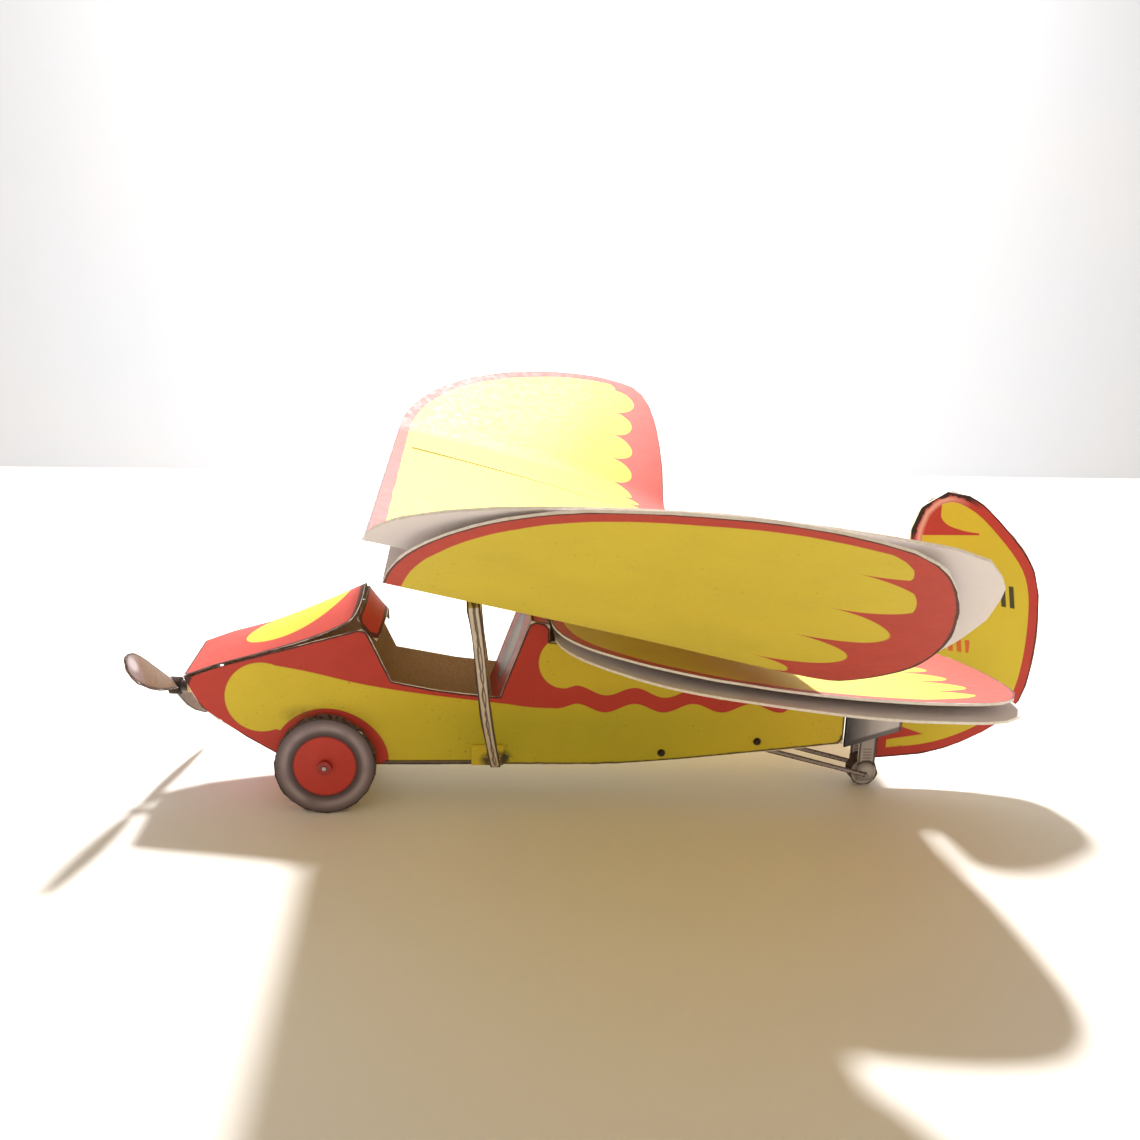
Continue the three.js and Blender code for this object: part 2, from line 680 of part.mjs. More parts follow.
const axle = turned(AXLE_R, -AXLE_HALF, AXLE_HALF, 16);
add("main_axle", axle.translate(x(WHEEL_AFT), 0, WHEEL_R), WIRE);
const motorPeg = turned(PIN_R, -PIN_HALF, PIN_HALF, 16);
add("motor_peg", motorPeg.translate(x(PEG_AFT), 0, PEG_Z), WOOD);
const bellyPin = turned(PIN_R, -PIN_HALF, PIN_HALF, 16);
add("belly_pin", bellyPin.translate(x(BELLY_PIN_AFT), 0, BELLY_PIN_Z), WOOD);
addPropeller();
add("rubber_band", rubberBand(), BAND);
add("tail_fork", tailFork(), KRAFT);
const tailAxle = turned(AXLE_R, -TAIL_AXLE_HALF, TAIL_AXLE_HALF, 16);
add("tail_axle", tailAxle.translate(x(TAIL_WHEEL_AFT), 0, TAIL_WHEEL_R), WIRE);
add("tail_wheel_hub", tailWheelRing(1.1, -1, 1), KRAFT);
add("rudder_tab", rudderTab(), KRAFT);

export default model;
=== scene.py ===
import random
from math import ceil, copysign, cos, pi, radians, sin, sqrt

import bmesh
import bpy
import numpy as np
from mathutils import Matrix, Vector, noise
from mathutils.geometry import delaunay_2d_cdt


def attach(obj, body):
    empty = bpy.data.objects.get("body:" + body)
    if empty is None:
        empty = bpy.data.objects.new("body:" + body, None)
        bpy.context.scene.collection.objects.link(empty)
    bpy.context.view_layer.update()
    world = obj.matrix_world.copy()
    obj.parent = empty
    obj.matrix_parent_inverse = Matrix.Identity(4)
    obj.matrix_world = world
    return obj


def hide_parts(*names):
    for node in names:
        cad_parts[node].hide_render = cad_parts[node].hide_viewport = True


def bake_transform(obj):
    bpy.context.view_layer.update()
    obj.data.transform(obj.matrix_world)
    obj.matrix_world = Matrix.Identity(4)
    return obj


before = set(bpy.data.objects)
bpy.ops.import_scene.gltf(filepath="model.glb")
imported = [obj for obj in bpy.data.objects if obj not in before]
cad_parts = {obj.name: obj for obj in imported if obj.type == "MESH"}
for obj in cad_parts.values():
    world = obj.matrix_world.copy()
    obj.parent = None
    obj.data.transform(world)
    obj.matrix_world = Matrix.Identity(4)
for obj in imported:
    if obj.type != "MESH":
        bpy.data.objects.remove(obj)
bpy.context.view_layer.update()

# ---- Sizes of the model, in millimetres. "aft" is measured back from the datum near the nose ----
MM = 0.001
DATUM_X = 81.0
CARD = 0.4  # the wings, rudder and propeller
PAPER = 0.28  # the body and the wheels
HALF = 10.7  # half the body's width
NOSE_AFT, NOSE_TOP = 2.9, 25.8
KNEE = (8.6, 27.9)  # where the nose's top edge turns
CREST_AFT, CREST_Z = 35.6, 35.2
KEEL_Z = 8.6
TAIL_AFT = 127
CHEEK_AFT, CHEEK_LENGTH = 127.4, 14
FRONT_PIN, REAR_PIN = (92.1, 10.9), (110.4, 13.2)
PIN_BORE = 0.62
HUB = Vector((82.0, 0, 20.5))
SIDE_THRUST = radians(8)
PROP_REST = radians(27)
PROP_RADIUS = 26
PROP_ROOT = 1.9
ROOT_PITCH, TIP_PITCH = 42, 18
SIDES = (("left", 1), ("right", -1))
WHEEL = {"aft": 28.7, "z": 9.5, "radius": 9.5, "bore": 0.5}
TAIL_WHEEL = {"aft": 135.0, "z": 2.9, "radius": 2.9, "bore": 0.5}
WHEEL_FACES = {"inner": 11.5, "outer": 13.3}
TAIL_FACES = 1.1
FRONT_WING = {
    "aft": 42.2, "z": 56.7, "incidence": 12.7, "crease": 59.6, "dihedral": 36,
    "lower": {
        "start": 0, "end": 63.5, "tip": 46.2, "skew": 0, "port": 5, "starboard": 0, "swell": 8,
    },
    "upper": {
        "start": -4, "end": 64.2, "tip": 42.5, "skew": 0.038, "port": 12, "starboard": 1,
        "swell": 3, "peel": 4.5, "lead": 5.2, "trail": 1.0, "camber": 6, "lift": 0.7,
    },
}
REAR_WING = {
    "aft": 71.4, "z": 33.35, "incidence": 1.9, "crease": 10.7, "dihedral": 6,
    "lower": {"start": 0, "end": 66, "tip": 51, "skew": 0, "port": 9, "starboard": 4},
    "upper": {
        "start": -0.9, "end": 67.6, "tip": 49.5, "skew": 0, "port": 6, "starboard": 3,
        "lead": 2.6, "trail": 1.2, "camber": 5, "lift": 2.4,
    },
}
TIP_WIDEST = 0.74  # how far along the chord a wing is widest
FOLD_SOFT = 3.2  # each side of a wing's crease that bends


def ink(red, green, blue):
    """A screen colour, 0 to 255, as the linear colour that a shader takes."""
    def linear(value):
        value /= 255
        return value / 12.92 if value <= 0.04045 else ((value + 0.055) / 1.055) ** 2.4
    return (linear(red), linear(green), linear(blue), 1)


YELLOW = ink(230, 206, 56)
YELLOW_DEEP = ink(188, 176, 36)
RED = ink(204, 66, 54)
RED_DEEP = ink(146, 38, 30)
OUTLINE = ink(52, 34, 34)
REVERSE = ink(244, 238, 240)
EDGE = ink(240, 232, 220)
TYRE = ink(126, 112, 118)
TYRE_DARK = ink(58, 48, 54)
BLACK = ink(30, 27, 28)
GREY = ink(150, 144, 146)
PALE_GREY = ink(206, 202, 204)


# ---- Numbers and colours worked out by a material's nodes ----
def binary(operation):
    return lambda field, other: field.op(operation, other)


class Field:
    """A number that a material's nodes work out at each point."""

    def __init__(self, tree, socket):
        self.tree = tree
        self.socket = socket

    def op(self, operation, *others, clamp=False):
        node = self.tree.nodes.new("ShaderNodeMath")
        node.operation = operation
        node.use_clamp = clamp
        for entry, value in zip(node.inputs, (self, *others)):
            if isinstance(value, Field):
                self.tree.links.new(value.socket, entry)
            else:
                entry.default_value = value
        return Field(self.tree, node.outputs[0])

    __add__ = __radd__ = binary("ADD")
    __sub__ = binary("SUBTRACT")
    __mul__ = __rmul__ = binary("MULTIPLY")
    __truediv__ = binary("DIVIDE")
    either = binary("MAXIMUM")

    def __neg__(self):
        return self * -1

    def __rsub__(self, other):
        return -self + other

    def size(self):
        return self.op("ABSOLUTE")

    def under(self, limit, soft=0.12):
        """1 where this is below the limit, 0 above it, over a border that is soft wide."""
        return ((limit - self) / soft).op("ADD", 0.5, clamp=True)

    def over(self, limit, soft=0.12):
        return ((self - limit) / soft).op("ADD", 0.5, clamp=True)

    def between(self, low, high, soft=0.12):
        return self.over(low, soft) * self.under(high, soft)

    def less(self, other):
        """This mask where the other one isn't."""
        return self * (1 - other)


def radius(u, v, centre, wide=1.0, high=1.0):
    """Distance from a centre, with each direction divided by its own size."""
    du = (u - centre[0]) / wide
    dv = (v - centre[1]) / high
    return (du * du + dv * dv).op("SQRT")


class Paint:
    """A material under construction."""

    def __init__(self, name):
        self.material = bpy.data.materials.new(name)
        self.material.use_nodes = True
        self.tree = self.material.node_tree
        self.shader = next(n for n in self.tree.nodes if n.type == "BSDF_PRINCIPLED")
        coordinates = self.new("ShaderNodeTexCoord")
        scaled = self.new("ShaderNodeVectorMath")
        scaled.operation = "SCALE"
        scaled.inputs["Scale"].default_value = 1 / MM
        self.link(coordinates.outputs["Object"], scaled.inputs[0])
        self.mm = scaled.outputs[0]
        self.facing = coordinates.outputs["Normal"]
        self.colour = None

    def new(self, kind):
        return self.tree.nodes.new(kind)

    def link(self, start, end):
        self.tree.links.new(start, end)

    def split(self, vector):
        node = self.new("ShaderNodeSeparateXYZ")
        self.link(vector, node.inputs[0])
        return [Field(self.tree, out) for out in node.outputs]

    def place(self):
        """How far aft, to port and up a point is, in millimetres."""
        x, y, z = self.split(self.mm)
        return DATUM_X - x, y, z

    def flat(self):
        """A point of a card's flat outline, and its distance inside the printed edge."""
        node = self.new("ShaderNodeAttribute")
        node.attribute_name = "flat"
        return self.split(node.outputs["Vector"])

    def noise(self, size, detail=2.0, rough=0.5, seed=0.0, stretch=(1, 1, 1)):
        """A noise from 0 to 1 whose spots are about so many millimetres across."""
        shift = self.new("ShaderNodeMapping")
        shift.inputs["Location"].default_value = (seed * 7.3, seed * 3.1, seed * 5.7)
        shift.inputs["Scale"].default_value = stretch
        self.link(self.mm, shift.inputs["Vector"])
        node = self.new("ShaderNodeTexNoise")
        node.inputs["Scale"].default_value = 1 / size
        node.inputs["Detail"].default_value = detail
        node.inputs["Roughness"].default_value = rough
        self.link(shift.outputs[0], node.inputs["Vector"])
        return Field(self.tree, node.outputs["Fac"])

    def curve(self, field, points):
        """The height of a line through the points, above where the field is."""
        across = [p[0] for p in points]
        up = [p[1] for p in points]
        low, high = min(up), max(up)
        span = (high - low) or 1
        node = self.new("ShaderNodeFloatCurve")
        line = node.mapping.curves[0]
        for p in points[2:]:
            line.points.new(0.5, 0.5)
        for point, (u, v) in zip(line.points, sorted(points)):
            point.location = ((u - across[0]) / (across[-1] - across[0]), (v - low) / span)
            point.handle_type = "AUTO"
        node.mapping.update()
        share = (field - across[0]) / (across[-1] - across[0])
        self.link(share.socket, node.inputs["Value"])
        return Field(self.tree, node.outputs[0]) * span + low

    def coat(self, colour, mask=None):
        """Lays a colour over what is there, where the mask is 1."""
        if self.colour is None:
            self.colour = colour
            return self
        node = self.new("ShaderNodeMix")
        node.data_type = "RGBA"
        entries = (node.inputs[0], node.inputs[6], node.inputs[7])
        for entry, value in zip(entries, (mask, self.colour, colour)):
            if isinstance(value, Field):
                self.link(value.socket, entry)
            elif isinstance(value, bpy.types.NodeSocket):
                self.link(value, entry)
            else:
                entry.default_value = value
        self.colour = node.outputs[2]
        return self

    def mottle(self, colour, deep, size, share, seed, detail=2):
        """A coat of one colour, with soft patches of a second one over it."""
        return self.coat(colour).coat(deep, self.noise(size, detail, seed=seed) * share)

    def bump(self, height, distance, strength=1.0):
        """Adds relief: height runs from 0 to 1 over so many millimetres."""
        node = self.new("ShaderNodeBump")
        node.inputs["Distance"].default_value = distance * MM
        node.inputs["Strength"].default_value = strength
        self.link(height.socket, node.inputs["Height"])
        before = self.shader.inputs["Normal"]
        if before.links:
            self.link(before.links[0].from_socket, node.inputs["Normal"])
        self.link(node.outputs[0], before)
        return self

    def done(self, rough=0.55, rough_by=0.12, grime=0.10, metal=0.0, specular=0.35):
        """Gives the shader the colour with its small changes of tone, and its roughness."""
        tone = self.noise(7, 3, seed=2) * 0.6 + self.noise(0.5, 2, seed=5) * 0.4
        self.coat(ink(60, 44, 34), (tone - 0.42) * grime * 3.4 * tone)
        self.link(self.colour, self.shader.inputs["Base Color"])
        rough_field = self.noise(1.3, 3, seed=9) * (2 * rough_by) + (rough - rough_by)
        self.link(rough_field.socket, self.shader.inputs["Roughness"])
        self.shader.inputs["Metallic"].default_value = metal
        self.shader.inputs["Specular IOR Level"].default_value = specular
        return self.material


def card_relief(paint, cockle=1.0):
    """The tooth of card, and the slight cockle that glue and fingers leave in it."""
    paint.bump(paint.noise(0.16, 3, 0.6, seed=1), 0.02, 0.28)
    return paint.bump(paint.noise(5.5, 1, seed=3), 0.09, 0.5 * cockle)


def specks(paint, size, share, seed, strength):
    """Small dark marks, scattered unevenly."""
    fine = paint.noise(size, 2, 0.6, seed=seed)
    patch = paint.noise(9, 1, seed=seed + 1)
    paint.coat(TYRE_DARK, fine.over(share, 0.05) * patch.over(0.5, 0.2) * strength)


# ---- Printed faces ----
def print_edge(paint, rim, width=0.3):
    """The thin dark line printed round a piece, and the bare card where the cut missed it."""
    wander = paint.noise(1.6, seed=12) * 0.28
    paint.coat(OUTLINE, (rim - wander).under(width * 0.7, 0.18) * 0.9)
    return paint.coat(EDGE, rim.under(paint.noise(2.2, seed=14) * 0.26 - 0.11, 0.05))


def side_print():
    """Red with a yellow flash in front and a yellow field behind, split by a wavy red stripe."""
    paint = Paint("side_print")
    aft, _, z = paint.place()
    rim = paint.flat()[2]
    upper = paint.curve(aft, [
        (2, 30.3), (17, 28.6), (41, 23.6), (61.8, 20.8), (70, 19.9), (127, 19.9)
    ])
    wave = ((aft - 75.5) * (2 * pi / 11.1)).op("COSINE") * aft.over(73, 5)
    middle = 21.75 - (aft - 75) * 0.021 + wave * 0.85
    half = (1.85 - (aft - 72) * 0.02).op("MINIMUM", (117.6 - aft) * 0.4)
    stripe = (z - middle).size().under(half) * aft.over(70.5, 1.0)
    front_lobe = radius(aft, z, (17, 22)).under(6.75, 0.15)
    behind = ((aft - WHEEL["aft"]) / 12).op("MAXIMUM", 0).op("MINIMUM", 1.1)
    clear = radius(aft, z, (WHEEL["aft"], WHEEL["z"])) - behind.op("POWER", 3) * 1.5
    floor = z.over((25.5 - aft).op("MAXIMUM", 0) * 0.25 + 14.2).either(aft.over(25.5))
    front_field = (z.under(upper) * aft.over(17) * floor).either(front_lobe)
    front_field = front_field.less(clear.under(10.3)) * aft.under(71.5)
    rear_lobe = radius(aft, z, (73.2, 28.9), 4.9, 5.1).under(1, 0.03)
    top = middle + half
    rear_field = (z.over(top) * aft.over(73.2)).either(rear_lobe).either(
        z.under(middle - half) * aft.over(70.5)
    ).either(aft.over(117.5))
    paint.mottle(RED, RED_DEEP, 3.5, 0.25, 20)
    field = front_field.either(rear_field).less(stripe)
    paint.coat(YELLOW, field)
    paint.coat(YELLOW_DEEP, field * (paint.noise(12, seed=21) * 0.34))
    # Olive darkening over the lower middle of the yellow, below the wings: painted shade.
    paint.coat(ink(166, 170, 34), field * aft.between(48, 104, 30) * z.under(21, 8) * 0.5)
    paint.coat(RED_DEEP, field.between(0.06, 0.94, 0.1) * 0.35)
    for pin in (FRONT_PIN, REAR_PIN):
        paint.coat(BLACK, radius(aft, z, pin).under(0.75, 0.2))
    along = aft.between(39.5, 58, 1)
    paint.coat(OUTLINE, (z - 9.0).size().under(0.5, 0.15) * along * 0.85)
    paint.coat(TYRE, (z - 8.95).size().under(0.2, 0.1) * along * 0.8)
    foot = radius(aft, z, (60.6, 9.9), 2.8, 1.6).under(1, 0.5)
    paint.coat(TYRE_DARK, foot * paint.noise(0.9, seed=24).over(0.36, 0.2) * 0.9)
    specks(paint, 0.6, 0.70, 30, 0.6)
    # Brownish darkening on the side just above the front of the wheel: painted shade next to the
    # wheel.
    wheel_top_shade = radius(aft, z, (24.5, 18.6), 3.2, 1.4).under(1, 1.2)
    paint.coat(ink(120, 88, 20), wheel_top_shade * paint.noise(1.5, seed=25) * 0.8)
    return card_relief(print_edge(paint, rim)).done(rough=0.5)


def wing_print(name, lobes, spikes, pitch, phase, border):
    """Yellow with a red border, and feathers of red that reach forward from the trailing edge."""
    paint = Paint(name)
    chord, span, rim = paint.flat()
    reach = span.size()
    step = ((reach - phase) / pitch).op("FRACT") - 0.5
    round_lobe = (1 - (step.size() * 2).op("POWER", 2)).op("POWER", 0.5)
    feather = round_lobe * (lobes - spikes) + spikes
    short_of_tip = (4.2 - rim).op("MAXIMUM", 0) * 2.5
    bend = paint.noise(11, 1, seed=31) * 1.6 - 0.8
    trailing = chord.over(feather + bend - short_of_tip, 0.25)
    rim_width = border[1] - chord * ((border[1] - border[0]) / 66)
    edge = rim.under(rim_width + paint.noise(9, 1, seed=33) * 0.5 - 0.25, 0.16)
    paint.mottle(YELLOW, YELLOW_DEEP, 14, 0.4, 34)
    red = trailing.either(edge)
    paint.coat(RED, red)
    paint.coat(RED_DEEP, red * paint.noise(4, seed=35) * 0.35)
    specks(paint, 0.5, 0.71, 36, 0.5)
    return card_relief(print_edge(paint, rim, 0.26), 0.6).done(rough=0.62, specular=0.8)


def reverse_card(name, white, worn):
    """The unprinted back of the card."""
    paint = Paint(name)
    paint.mottle(white, worn, 9, 0.5, 40, detail=3)
    paint.coat(ink(238, 230, 220), paint.noise(0.35, 3, 0.7, seed=41).over(0.55, 0.3) * 0.4)
    return card_relief(paint).done(rough=0.82, grime=0.06, specular=0.2)


def cut_edge(name, card, dirt, share):
    paint = Paint(name)
    paint.coat(card)
    paint.coat(dirt, paint.noise(0.9, 3, 0.6, seed=44).over(0.5, 0.25) * share)
    paint.bump(paint.noise(0.25, 3, 0.6, seed=45), 0.03, 0.5)
    return paint.done(rough=0.9, grime=0.05, specular=0.15)


def deck_print():
    paint = Paint("deck_print")
    aft, y, rim = paint.flat()
    field = radius(aft + y * 0.28, y, (23, 0), 9.5, 7.6).under(1, 0.02)
    paint.mottle(RED, RED_DEEP, 3.5, 0.3, 50)
    paint.coat(YELLOW, field)
    paint.coat(YELLOW_DEEP, field * paint.noise(8, seed=51) * 0.5)
    paint.coat(OUTLINE, aft.between(34.8, 35.6, 0.2) * 0.9)
    return card_relief(print_edge(paint, rim, 0.4)).done(rough=0.6, specular=0.8)


def one_colour_card(name, colour, deep, edge):
    """A card in one colour, with a dark line round it: print on the flap, painted shade on the
    wing's crease.
    """
    paint = Paint(name)
    rim = paint.flat()[2]
    paint.mottle(colour, deep, 3.2, 0.4, 55)
    return card_relief(print_edge(paint, rim, edge)).done(rough=0.5)


def rudder_print():
    paint = Paint("rudder_print")
    aft, z, rim = paint.flat()
    paint.mottle(RED, RED_DEEP, 4, 0.3, 60)
    inner = rim.over(2.1, 0.15)
    lobe_foot = paint.curve(aft, [(145.6, 56.2), (146.6, 54.0), (149.7, 52.6), (153.6, 51.9)])
    top_lobe = z.over(lobe_foot) * aft.over(145.7)
    low_spike = ((z - 11.0 + (aft - 143) * 0.1).size() - (146.8 - aft) * 0.26).under(0, 0.2)
    field = (z.under(51.5).either(top_lobe).either(aft.over(153.6)) * inner).less(low_spike)
    paint.coat(YELLOW, field)
    paint.coat(YELLOW_DEEP, field * paint.noise(12, seed=61) * 0.4)
    shine = rim.between(1.1, 2.0, 0.7) * z.over(44, 4) * aft.under(149, 5)
    paint.coat(ink(250, 196, 190), shine * 0.8)
    for foot, height, slope, left, right, colour in (
        (38.2, 4.3, -0.17, 154.4, 162.4, BLACK),
        (28.6, 2.6, -0.12, 146.6, 154.2, ink(222, 96, 44)),
    ):
        base = foot + (aft - left) * slope
        bars = ((aft - left + (z - base) * 0.18) / 1.75).op("FRACT").under(0.56, 0.08)
        rows = (z - base).between(0, height, 0.15)
        paint.coat(colour, bars * rows * aft.between(left, right, 0.1) * 0.92)
    ragged = paint.noise(1.4, 2, 0.7, seed=63) * 1.6 + 0.1
    card_relief(print_edge(paint, rim))
    corner = rim.under(ragged, 0.25) * z.over(51, 2) * aft.under(152.5, 3)
    paint.coat(BLACK, corner * 0.95)
    return paint.done()


def wheel_print(name, size, hub, ring, tyre):
    """A tyre and a wheel disc, printed as rings."""
    paint = Paint(name)
    u, v, rim = paint.flat()
    out = (u * u + v * v).op("SQRT")
    share = (out - hub) / (size - hub)
    paint.coat(tyre)
    paint.coat(TYRE_DARK, share.under(0.22, 0.3) * 0.9)
    paint.coat(TYRE_DARK, share.over(0.82, 0.26) * 0.8)
    glow = share.between(0.36, 0.6, 0.2) * paint.noise(5, 1, seed=70).over(0.4, 0.3)
    paint.coat(ink(182, 168, 176), glow * 0.6)
    paint.coat(ring, out.under(hub))
    line = RED_DEEP if ring == RED else BLACK
    paint.coat(line, (out - hub).size().under(0.14, 0.12) * 0.8)
    paint.coat(line, (out - hub * 0.2).size().under(0.1, 0.1) * 0.7)
    paint.coat(RED_DEEP, out.under(hub) * paint.noise(2.5, seed=72) * 0.3)
    return card_relief(print_edge(paint, rim, 0.26)).done(rough=0.5)


def blade_print():
    paint = Paint("blade_print")
    out, across, rim = paint.flat()
    paint.coat(ink(122, 92, 66))
    grain = paint.noise(0.5, 3, 0.7, seed=80, stretch=(0.4, 1, 1))
    paint.coat(ink(86, 60, 42), grain.over(0.5, 0.25) * 0.5)
    tip = out.over(19 + paint.noise(3, 1, seed=81) * 3, 4)
    paint.coat(ink(138, 122, 126), tip)
    # Pale spot near the blade's tip: painted highlight.
    paint.coat(ink(204, 194, 198), radius(out, across, (22.8, 0.5), 2.2, 1.2).under(1, 0.7) * 0.8)
    return card_relief(print_edge(paint, rim, 0.34)).done(rough=0.5)


def strut_print():
    paint = Paint("strut_print")
    rim = paint.flat()[2]
    paint.mottle(ink(228, 214, 196), ink(188, 170, 150), 2.6, 0.5, 85, detail=3)
    paint.coat(OUTLINE, rim.under(0.26, 0.12) * 0.95)
    wander = paint.noise(4, 1, seed=86) * 0.5 - 0.25
    paint.coat(OUTLINE, (rim - 0.72 - wander).size().under(0.09, 0.1) * 0.85)
    return card_relief(paint).done(rough=0.7, grime=0.12)


def arm_print():
    paint = Paint("tail_arm_print")
    rim = paint.flat()[2]
    paint.mottle(ink(188, 182, 186), TYRE, 2.4, 0.6, 88)
    paint.coat(OUTLINE, rim.under(0.14, 0.1) * 0.9)
    return card_relief(paint).done()


# ---- Cutting card ----
def spline(points, steps=8):
    """A smooth line through the points."""
    line = []
    for i in range(len(points) - 1):
        p = [Vector(points[max(0, min(len(points) - 1, i + k))]) for k in (-1, 0, 1, 2)]
        for step in range(steps):
            t = step / steps
            v0, v1 = (p[2] - p[0]) / 2, (p[3] - p[1]) / 2
            line.append(
                (2 * t**3 - 3 * t**2 + 1) * p[1] + (t**3 - 2 * t**2 + t) * v0
                + (3 * t**2 - 2 * t**3) * p[2] + (t**3 - t**2) * v1
            )
    return line + [Vector(points[-1])]


def bow(start, control, end, steps=8):
    """A curve from start to end that is drawn towards the control point."""
    a, b, c = Vector(start), Vector(control), Vector(end)
    shares = [k / steps for k in range(steps + 1)]
    return [(1 - t) ** 2 * a + 2 * t * (1 - t) * b + t * t * c for t in shares]


def stretches(loop):
    """Each pair of neighbours on a closed loop."""
    return zip(loop, loop[1:] + loop[:1])


def divided(loop, step):
    """The loop with points no further apart than step."""
    out = []
    for a, b in stretches(loop):
        count = max(1, ceil((b - a).length / step))
        out += [a.lerp(b, k / count) for k in range(count)]
    return out


def oblong(low, high, step):
    """The outline of a rectangle, from two opposite corners."""
    corners = (low, (high[0], low[1]), high, (low[0], high[1]))
    return divided([Vector(p) for p in corners], step)


def hand_cut(loop, length, jag, draw):
    """The loop as scissors leave it: short straight cuts that stray a little from the line."""
    out = []
    travelled = due = 0.0
    for i, point in enumerate(loop):
        before, after = loop[i - 1], loop[(i + 1) % len(loop)]
        into, away = (point - before).normalized(), (after - point).normalized()
        travelled += (point - before).length
        corner = into.dot(away) < 0.9
        if corner or travelled >= due:
            across = Vector((into.y + away.y, -into.x - away.x)).normalized()
            out.append(point + across * (0 if corner else draw.gauss(0, jag)))
            travelled = 0
            due = length * draw.uniform(0.6, 1.4)
    return out


def inside(points, loop):
    """Whether each point is inside the loop."""
    hit = np.zeros(len(points), dtype=bool)
    for a, b in stretches(loop):
        crosses = (a.y > points[:, 1]) != (b.y > points[:, 1])
        rise = (b.y - a.y) or 1e-12
        at = (b.x - a.x) * (points[:, 1] - a.y) / rise + a.x
        hit ^= crosses & (points[:, 0] < at)
    return hit


def distance(points, loop):
    """How far each point is from the loop."""
    best = np.full(len(points), 1e9)
    for a, b in stretches(loop):
        start, run = np.array(a), np.array(b - a)
        share = np.clip(((points - start) @ run) / max(run @ run, 1e-12), 0, 1)
        best = np.minimum(best, np.linalg.norm(points - start - share[:, None] * run, axis=1))
    return best


def add(name, data):
    """A new object in the scene."""
    item = bpy.data.objects.new(name, data)
    bpy.context.scene.collection.objects.link(item)
    return item


def cut_card(name, loop, shape, materials, holes=(), flip=False, thickness=CARD, step=1.6,
             cuts=(4.5, 0.08), seed=1):
    """A piece of card cut by hand along the loop.

    shape(u, v) puts a point of the flat card in place, as the middle of its thickness. Materials
    are those of the printed face, of its back and of the cut edge.
    """
    draw = random.Random(seed)
    rim = divided(hand_cut(loop, cuts[0], cuts[1], draw), step * 0.6)
    loops = [rim] + [divided(hole, step * 0.6) for hole in holes]
    low = [min(p[k] for p in rim) for k in (0, 1)]
    high = [max(p[k] for p in rim) for k in (0, 1)]
    grid = np.array([
        (u, v)
        for u in np.arange(low[0] + step / 2, high[0], step)
        for v in np.arange(low[1] + step / 2, high[1], step)
    ]).reshape(-1, 2)
    keep = inside(grid, rim) & (distance(grid, rim) > step * 0.45)
    for hole in loops[1:]:
        keep &= ~inside(grid, hole) & (distance(grid, hole) > step * 0.45)
    points, bounds = [], []
    for ring in loops:
        first = len(points)
        points += ring
        bounds += [(first + k, first + (k + 1) % len(ring)) for k in range(len(ring))]
    points += [Vector(p) for p in grid[keep]]
    flat, _, triangles, *_ = delaunay_2d_cdt(points, bounds, [], 1, 1e-6)
    middles = np.array([sum((flat[i] for i in t), Vector((0, 0))) / 3 for t in triangles])
    used = np.ones(len(triangles), dtype=bool)
    for hole in loops[1:]:
        used &= ~inside(middles, hole)
    triangles = [t for t, ok in zip(triangles, used) if ok]

    places, normals = [], []
    nudge = 0.05
    for p in flat:
        across = (shape(p.x + nudge, p.y) - shape(p.x - nudge, p.y)).cross(
            shape(p.x, p.y + nudge) - shape(p.x, p.y - nudge)
        ).normalized()
        places.append(shape(p.x, p.y))
        normals.append(-across if flip else across)
    count = len(flat)
    offset = thickness / 2
    verts = [(p + n * offset) * MM for p, n in zip(places, normals)]
    verts += [(p - n * offset) * MM for p, n in zip(places, normals)]
    front, back, directed = [], [], set()
    for a, b, c in triangles:
        if flip:
            b, c = c, b
        front.append((a, b, c))
        back.append((c + count, b + count, a + count))
        directed |= {(a, b), (b, c), (c, a)}
    edges = sorted((b, a, a + count, b + count) for a, b in directed if (b, a) not in directed)
    mesh = bpy.data.meshes.new(name)
    mesh.from_pydata(verts, [], front + back + edges)
    shares = np.array([(p.x, p.y) for p in flat])
    depth = distance(shares, loop) * np.where(inside(shares, loop), 1, -1)
    flat_data = np.column_stack([shares, depth]).astype(np.float32)
    attribute = mesh.attributes.new("flat", "FLOAT_VECTOR", "POINT")
    attribute.data.foreach_set("vector", np.vstack([flat_data, flat_data]).ravel())
    for material in materials:
        mesh.materials.append(material)
    slots = [0] * len(front) + [1] * len(back) + [2] * len(edges)
    mesh.polygons.foreach_set("material_index", slots)
    mesh.polygons.foreach_set("use_smooth", [True] * len(slots))
    mesh.set_sharp_from_angle(angle=radians(38))
    mesh.validate()
    piece = add(name, mesh)
    if len({i for face in front + back for i in face}) < 2 * count:
        work = bmesh.new()
        work.from_mesh(mesh)
        bmesh.ops.delete(work, geom=[v for v in work.verts if not v.link_faces], context="VERTS")
        work.to_mesh(mesh)
        work.free()
    return piece


def fit(piece, body, slot, *nodes):
    """The piece moves with the body and stands for the CAD nodes, which it hides. The slot is not
    used.
    """
    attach(piece, body)
    if nodes:
        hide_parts(*nodes)


BACK = reverse_card("card_reverse", REVERSE, ink(226, 216, 214))
# The same unprinted back, tan and darker for the faces inside the fuselage and under the deck:
# painted shade.
SHADED_INSIDE = reverse_card("card_inside_shaded", ink(214, 180, 144), ink(190, 152, 116))
CUT = cut_edge("card_cut_edge", ink(250, 246, 240), ink(214, 198, 184), 0.35)
INKED = cut_edge("card_inked_edge", ink(128, 106, 96), ink(58, 44, 42), 0.8)


# ---- Wings ----
def clamp(value):
    return min(1.0, max(0.0, value))


def tip_reach(t):
    if t < TIP_WIDEST:
        return sqrt(max(0, 1 - ((TIP_WIDEST - t) / TIP_WIDEST) ** 1.8))
    return sqrt(max(0, 1 - ((t - TIP_WIDEST) / (1 - TIP_WIDEST)) ** 4))


def sheet_height(part, t, outward):
    """Height of a wing sheet above the chord line, t of the way along it."""
    if "lead" not in part:
        return 0.0
    root = part["trail"] + (part["lead"] - part["trail"]) * (1 - t) + part["camber"] * t * (1 - t)
    share = max(0.0, 1 - outward) ** 1.4
    return part["lift"] + (root - part["lift"]) * share


